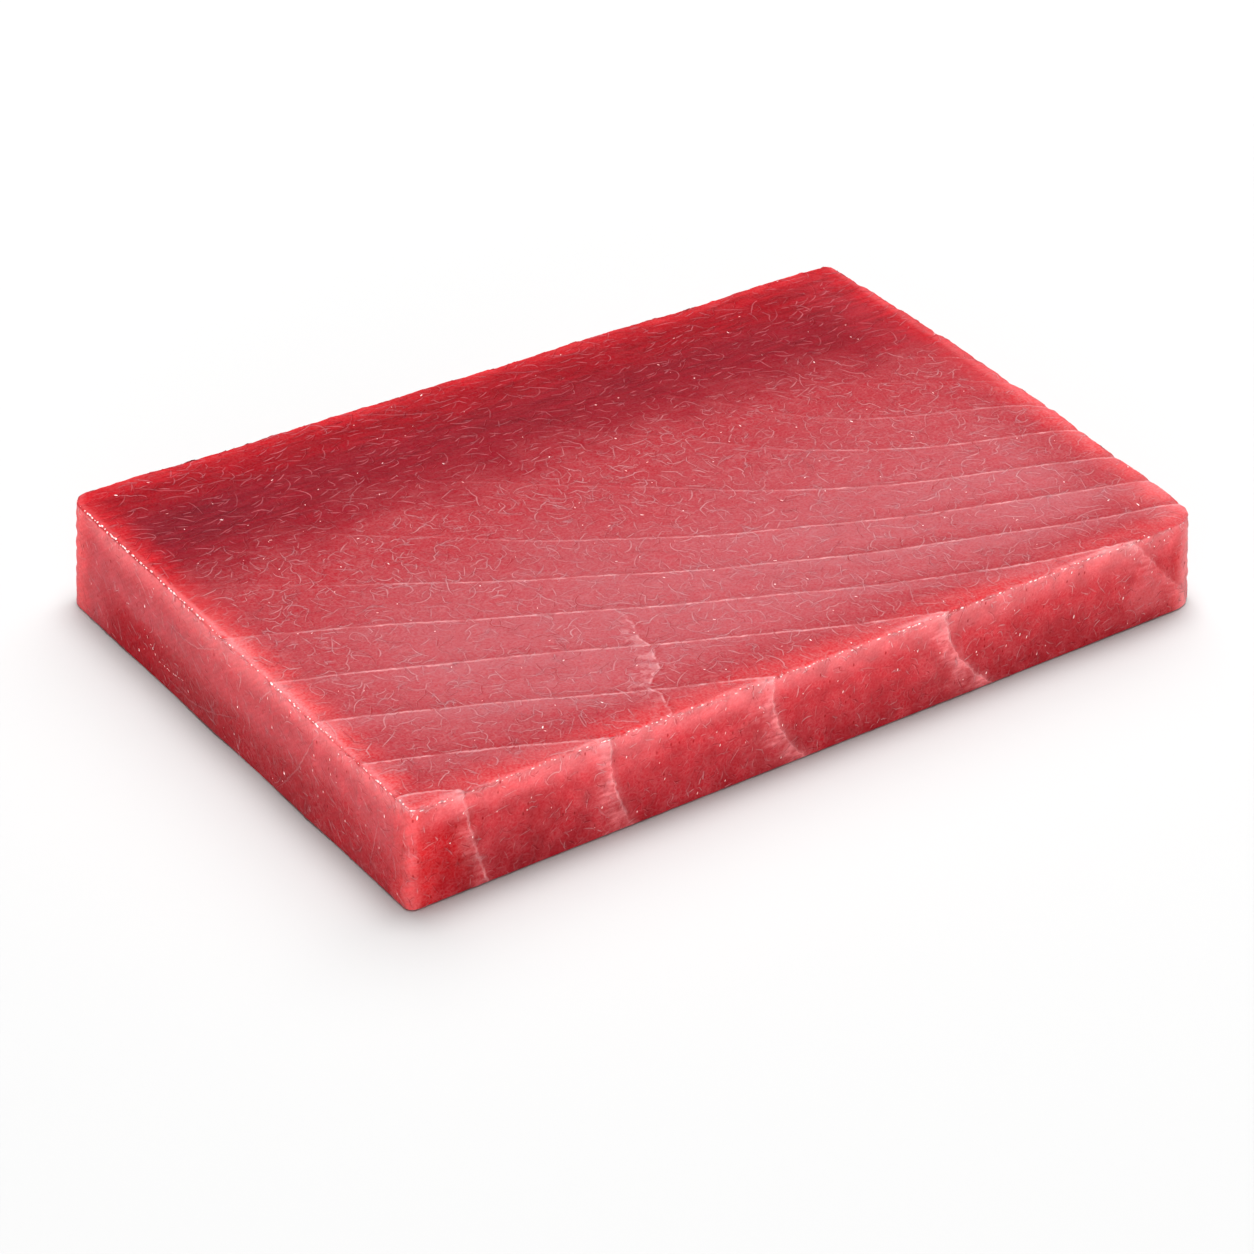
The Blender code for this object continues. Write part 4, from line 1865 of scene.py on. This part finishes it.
    def build(self) -> bpy.types.Object:
        """Makes all lines as one mesh.

        Returns:
            The piece, in the row frame.
        """
        places, faces, tones = [], [], []
        for path, strength, width in self.paths():
            waxing = np.sin(np.linspace(0.0, math.pi, len(path)))
            strengths = (strength * (self.end_strength + (1.0 - self.end_strength) * waxing)).tolist()
            # a painted glint at the end of some threads
            if strength > 0.0 and self.draw.random() < self.glint_tip_share:
                strengths[-2:] = [self.glint_tip_strength] * 2
            first = path[0][2]
            # turns the painted shade flank behind on the top face, and downwards on the sides
            width = math.copysign(width, first.y if self.on_top else -first.z)
            base, size = len(places), len(self.profile)
            for number in range(1, len(path)):
                for corner in range(base + number * size, base + (number + 1) * size - 1):
                    ring = (corner - size, corner - size + 1, corner + 1, corner)
                    faces.append(ring if width < 0.0 else ring[::-1])
            more_places, more_tones = self.ridge(path, width, strengths)
            places += more_places
            tones += more_tones
        piece = self.new_piece(self.name, [tuple(place) for place in places], faces)
        write_values(piece.data, "thread", np.array(tones))
        for key, values in self.skin.read(places).items():
            write_values(piece.data, key, values)
        return piece


@dataclass
class Beads(Layer):
    """Beads of juice with pale painted glints: rows along the sharp top edges, and specks scattered over the
    faces.
    """

    skin: Skin
    name: str
    edge_pitch: float = 0.00092
    edge_share: float = 0.66
    clusters: float = 0.7
    cluster_length: float = 0.008
    left_radius: float = 0.00020
    front_radius: float = 0.00016
    left_scatter: float = 0.0001
    front_scatter: float = 0.0002
    scatter: float = 0.0001
    uneven: float = 0.4
    edge_sizes: tuple = (0.40, 1.15)
    bold_run: float = 0.050
    bold: float = 1.1
    dense_from: float = 0.132
    denser: float = 0.30
    thin_from: float = 0.172
    thin_share: float = 0.25
    height: float = 0.55
    longest: float = 3.4
    under_front: float = 0.0004
    speck_radius: float = 0.00017
    speck_sizes_on_top: tuple = (0.45, 1.15, 0.5)
    speck_sizes_on_sides: tuple = (0.45, 1.2, 0.5)
    dot_sizes: tuple = (0.3, 0.7)
    specks_on_top: int = 170
    specks_on_sides: int = 220
    lowest: float = 0.0012
    dotted_line: tuple = ((0.0990, 0.0085), (0.0937, 0.0044), (0.0880, 0.0044), (0.0820, 0.0054))
    dot_pitch: float = 0.0009
    seed: int = 21
    draw: random.Random = field(init=False)

    def __post_init__(self) -> None:
        """Starts the random numbers."""
        self.draw = random.Random(self.seed)

    def drop(self) -> tuple[np.ndarray, list[tuple]]:
        """One round drop of radius 1.

        Returns:
            Its points and its faces.
        """
        bpy.ops.object.select_all(action="DESELECT")
        bpy.ops.mesh.primitive_ico_sphere_add(subdivisions=1, radius=1.0)
        ball = bpy.context.object
        points = read_points(ball.data)
        faces = [tuple(face.vertices) for face in ball.data.polygons]
        bpy.data.objects.remove(ball)
        return points, faces

    def build(self) -> bpy.types.Object:
        """Makes all beads as one mesh.

        Returns:
            The piece, in the row frame.
        """
        shape, shape_faces = self.drop()
        places, faces = [], []
        for place, along, radius in (*self.edge_rows(), *self.dots(), *self.specks()):
            point, normal = self.skin.nearest(self.skin.seat(place))
            along = (along - normal * along.dot(normal)).normalized()
            across = normal.cross(along)
            long = radius * self.draw.uniform(1.0, self.longest)
            base = len(places)
            axes = np.array([along * long, across * radius, normal * radius * self.height])
            places += (shape @ axes + np.array(point)).tolist()
            faces += [tuple(base + corner for corner in face) for face in shape_faces]
        return self.new_piece(self.name, places, faces)

    def edge_rows(self) -> list[Spot]:
        """The rows of beads along the left and the front edge.

        Returns:
            Each bead's spot.
        """
        draw = self.draw
        length, width, top = self.skin.sides
        low = top - self.under_front
        found = []
        for start, end, radius, rise, bold_run, dense_from in (
            (Vector((0.0, width, top)), Vector((0.0, 0.0, top)),
             self.left_radius, self.left_scatter, self.bold_run, width),
            (Vector((0.0, 0.0, low)), Vector((length, 0.0, low)),
             self.front_radius, self.front_scatter, 0.0, self.dense_from),
        ):
            way = (end - start).normalized()
            for number in range(int((end - start).length / self.edge_pitch)):
                run = number * self.edge_pitch
                big = self.bold if run < bold_run else 1.0
                cluster = noise.noise((run / self.cluster_length, self.edge_share * 9.0, 0.0))
                share = self.edge_share * big + self.clusters * cluster
                if run > dense_from:
                    share += self.denser
                if draw.random() > share * (self.thin_share if run > self.thin_from else 1.0):
                    continue
                place = start + way * (number + draw.uniform(-self.uneven, self.uneven)) * self.edge_pitch
                place += Vector([draw.gauss(0.0, spread) for spread in (self.scatter, self.scatter, rise)])
                found.append((place, way, radius * big * draw.uniform(*self.edge_sizes)))
        return found

    def dots(self) -> list[Spot]:
        """The dotted line on the left face.

        Returns:
            Each bead's spot.
        """
        line = [Vector((0.0, y, z)) for y, z in self.dotted_line]
        found = []
        for start, end in zip(line, line[1:]):
            for number in range(int((end - start).length / self.dot_pitch)):
                along = (number + self.draw.random()) * self.dot_pitch / (end - start).length
                radius = self.speck_radius * self.draw.uniform(*self.dot_sizes)
                found.append((start.lerp(end, along), Vector((0.0, 1.0, 1.0)), radius))
        return found

    def specks(self) -> list[Spot]:
        """The pale specks, painted glints, that are scattered over the top face and the sides.

        Returns:
            Each bead's spot.
        """
        draw = self.draw
        length, width, top = self.skin.sides
        upwards = Vector((0.3, 0.3, 1.0))
        found = []
        for _ in range(self.specks_on_top):
            place = Vector((draw.uniform(0.0, length), draw.uniform(0.0, width), top))
            turn = draw.uniform(0.0, math.pi)
            way = Vector((math.cos(turn), math.sin(turn), 0.0))
            found.append((place, way, self.speck_radius * draw.triangular(*self.speck_sizes_on_top)))
        for _ in range(self.specks_on_sides):
            along = draw.uniform(0.0, 2.0 * (length + width))
            height = draw.uniform(self.lowest, top)
            if along < 2.0 * length:
                place = Vector((along % length, 0.0 if along < length else width, height))
            else:
                along -= 2.0 * length
                place = Vector((0.0 if along < width else length, along % width, height))
            found.append((place, upwards, self.speck_radius * draw.triangular(*self.speck_sizes_on_sides)))
        return found


@dataclass
class Studio:
    """A white floor, soft lamps from above, and the camera."""

    floor_side: float = 6.0
    camera_place: tuple = (-0.41842, -0.61846, 0.47142)
    camera_tilt: float = 57.38
    camera_turn: float = -33.89
    lens: float = 123.45
    sensor: float = 36.0
    world_light: float = 0.077
    lamps: tuple = (
        ("overhead", (0.22, 0.22, 2.5), (1.28, 1.28), 90.8),
        ("behind", (1.30, 1.30, 2.5), (3.02, 3.02), 112.3),
        ("low_front", (-1.05, -1.2, 0.13), (1.9, 0.24), 33.8),
    )

    def floor(self) -> None:
        """Lays the floor."""
        bpy.ops.object.select_all(action="DESELECT")
        bpy.ops.mesh.primitive_plane_add(size=self.floor_side, location=(0.0, 0.0, 0.0))
        floor = bpy.context.object
        floor.name = "studio_floor"
        floor.data.materials.append(FloorFinish().build())
        floor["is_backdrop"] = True

    def lamp(self, name: str, place: tuple, side: tuple, watts: float) -> None:
        """Hangs one soft lamp that faces the block.

        Args:
            name: The lamp's name.
            place: Where it hangs.
            side: Its width and height.
            watts: Its power.
        """
        data = bpy.data.lights.new(name, "AREA")
        data.shape = "RECTANGLE"
        data.size, data.size_y = side
        data.energy = watts
        lamp = bpy.data.objects.new(name, data)
        lamp.location = place
        lamp.rotation_euler = (-Vector(place)).to_track_quat("-Z", "Y").to_euler()
        bpy.context.collection.objects.link(lamp)

    def world(self) -> None:
        """Sets the even light of the room."""
        world = bpy.data.worlds.new("studio_room")
        world.use_nodes = True
        background = world.node_tree.nodes["Background"]
        background.inputs["Color"].default_value = (1.0, 1.0, 1.0, 1.0)
        background.inputs["Strength"].default_value = self.world_light
        bpy.context.scene.world = world

    def camera(self) -> None:
        """Sets the camera at the photograph's viewing angle."""
        data = bpy.data.cameras.new("camera")
        data.lens = self.lens
        data.sensor_width = self.sensor
        camera = bpy.data.objects.new("camera", data)
        camera.location = self.camera_place
        camera.rotation_euler = (math.radians(self.camera_tilt), 0.0, math.radians(self.camera_turn))
        bpy.context.collection.objects.link(camera)
        bpy.context.scene.camera = camera

    def build(self) -> None:
        """Sets up the whole studio."""
        self.floor()
        self.world()
        self.camera()
        for name, place, side, watts in self.lamps:
            self.lamp(name, place, side, watts)
        bpy.context.scene.view_settings.view_transform = "Standard"


def main() -> None:
    """Builds the studio and each piece of the loin in turn."""
    logging.basicConfig(level=logging.INFO, format="%(message)s")
    Studio().build()
    flesh_finish = FleshFinish().build()
    flesh = Flesh()
    block = flesh.build()
    flesh.dress(block, flesh_finish)
    log.info("%s: %d faces", block.name, len(block.data.polygons))

    skin = Skin(flesh, block)
    for layer, finish in (
        (Threads(skin, "threads_on_top", on_top=True), flesh_finish),
        (Threads(skin, "threads_on_sides", on_top=False), flesh_finish),
        (Beads(skin, "juice_beads_and_painted_glints"), MoistureFinish().build()),
    ):
        piece = layer.build()
        layer.dress(piece, finish)
        log.info("%s: %d faces", piece.name, len(piece.data.polygons))

    boxes = [[list(corner) for corner in box] for box in (CAD_BOX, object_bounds())]


if __name__ == "__main__":
    main()
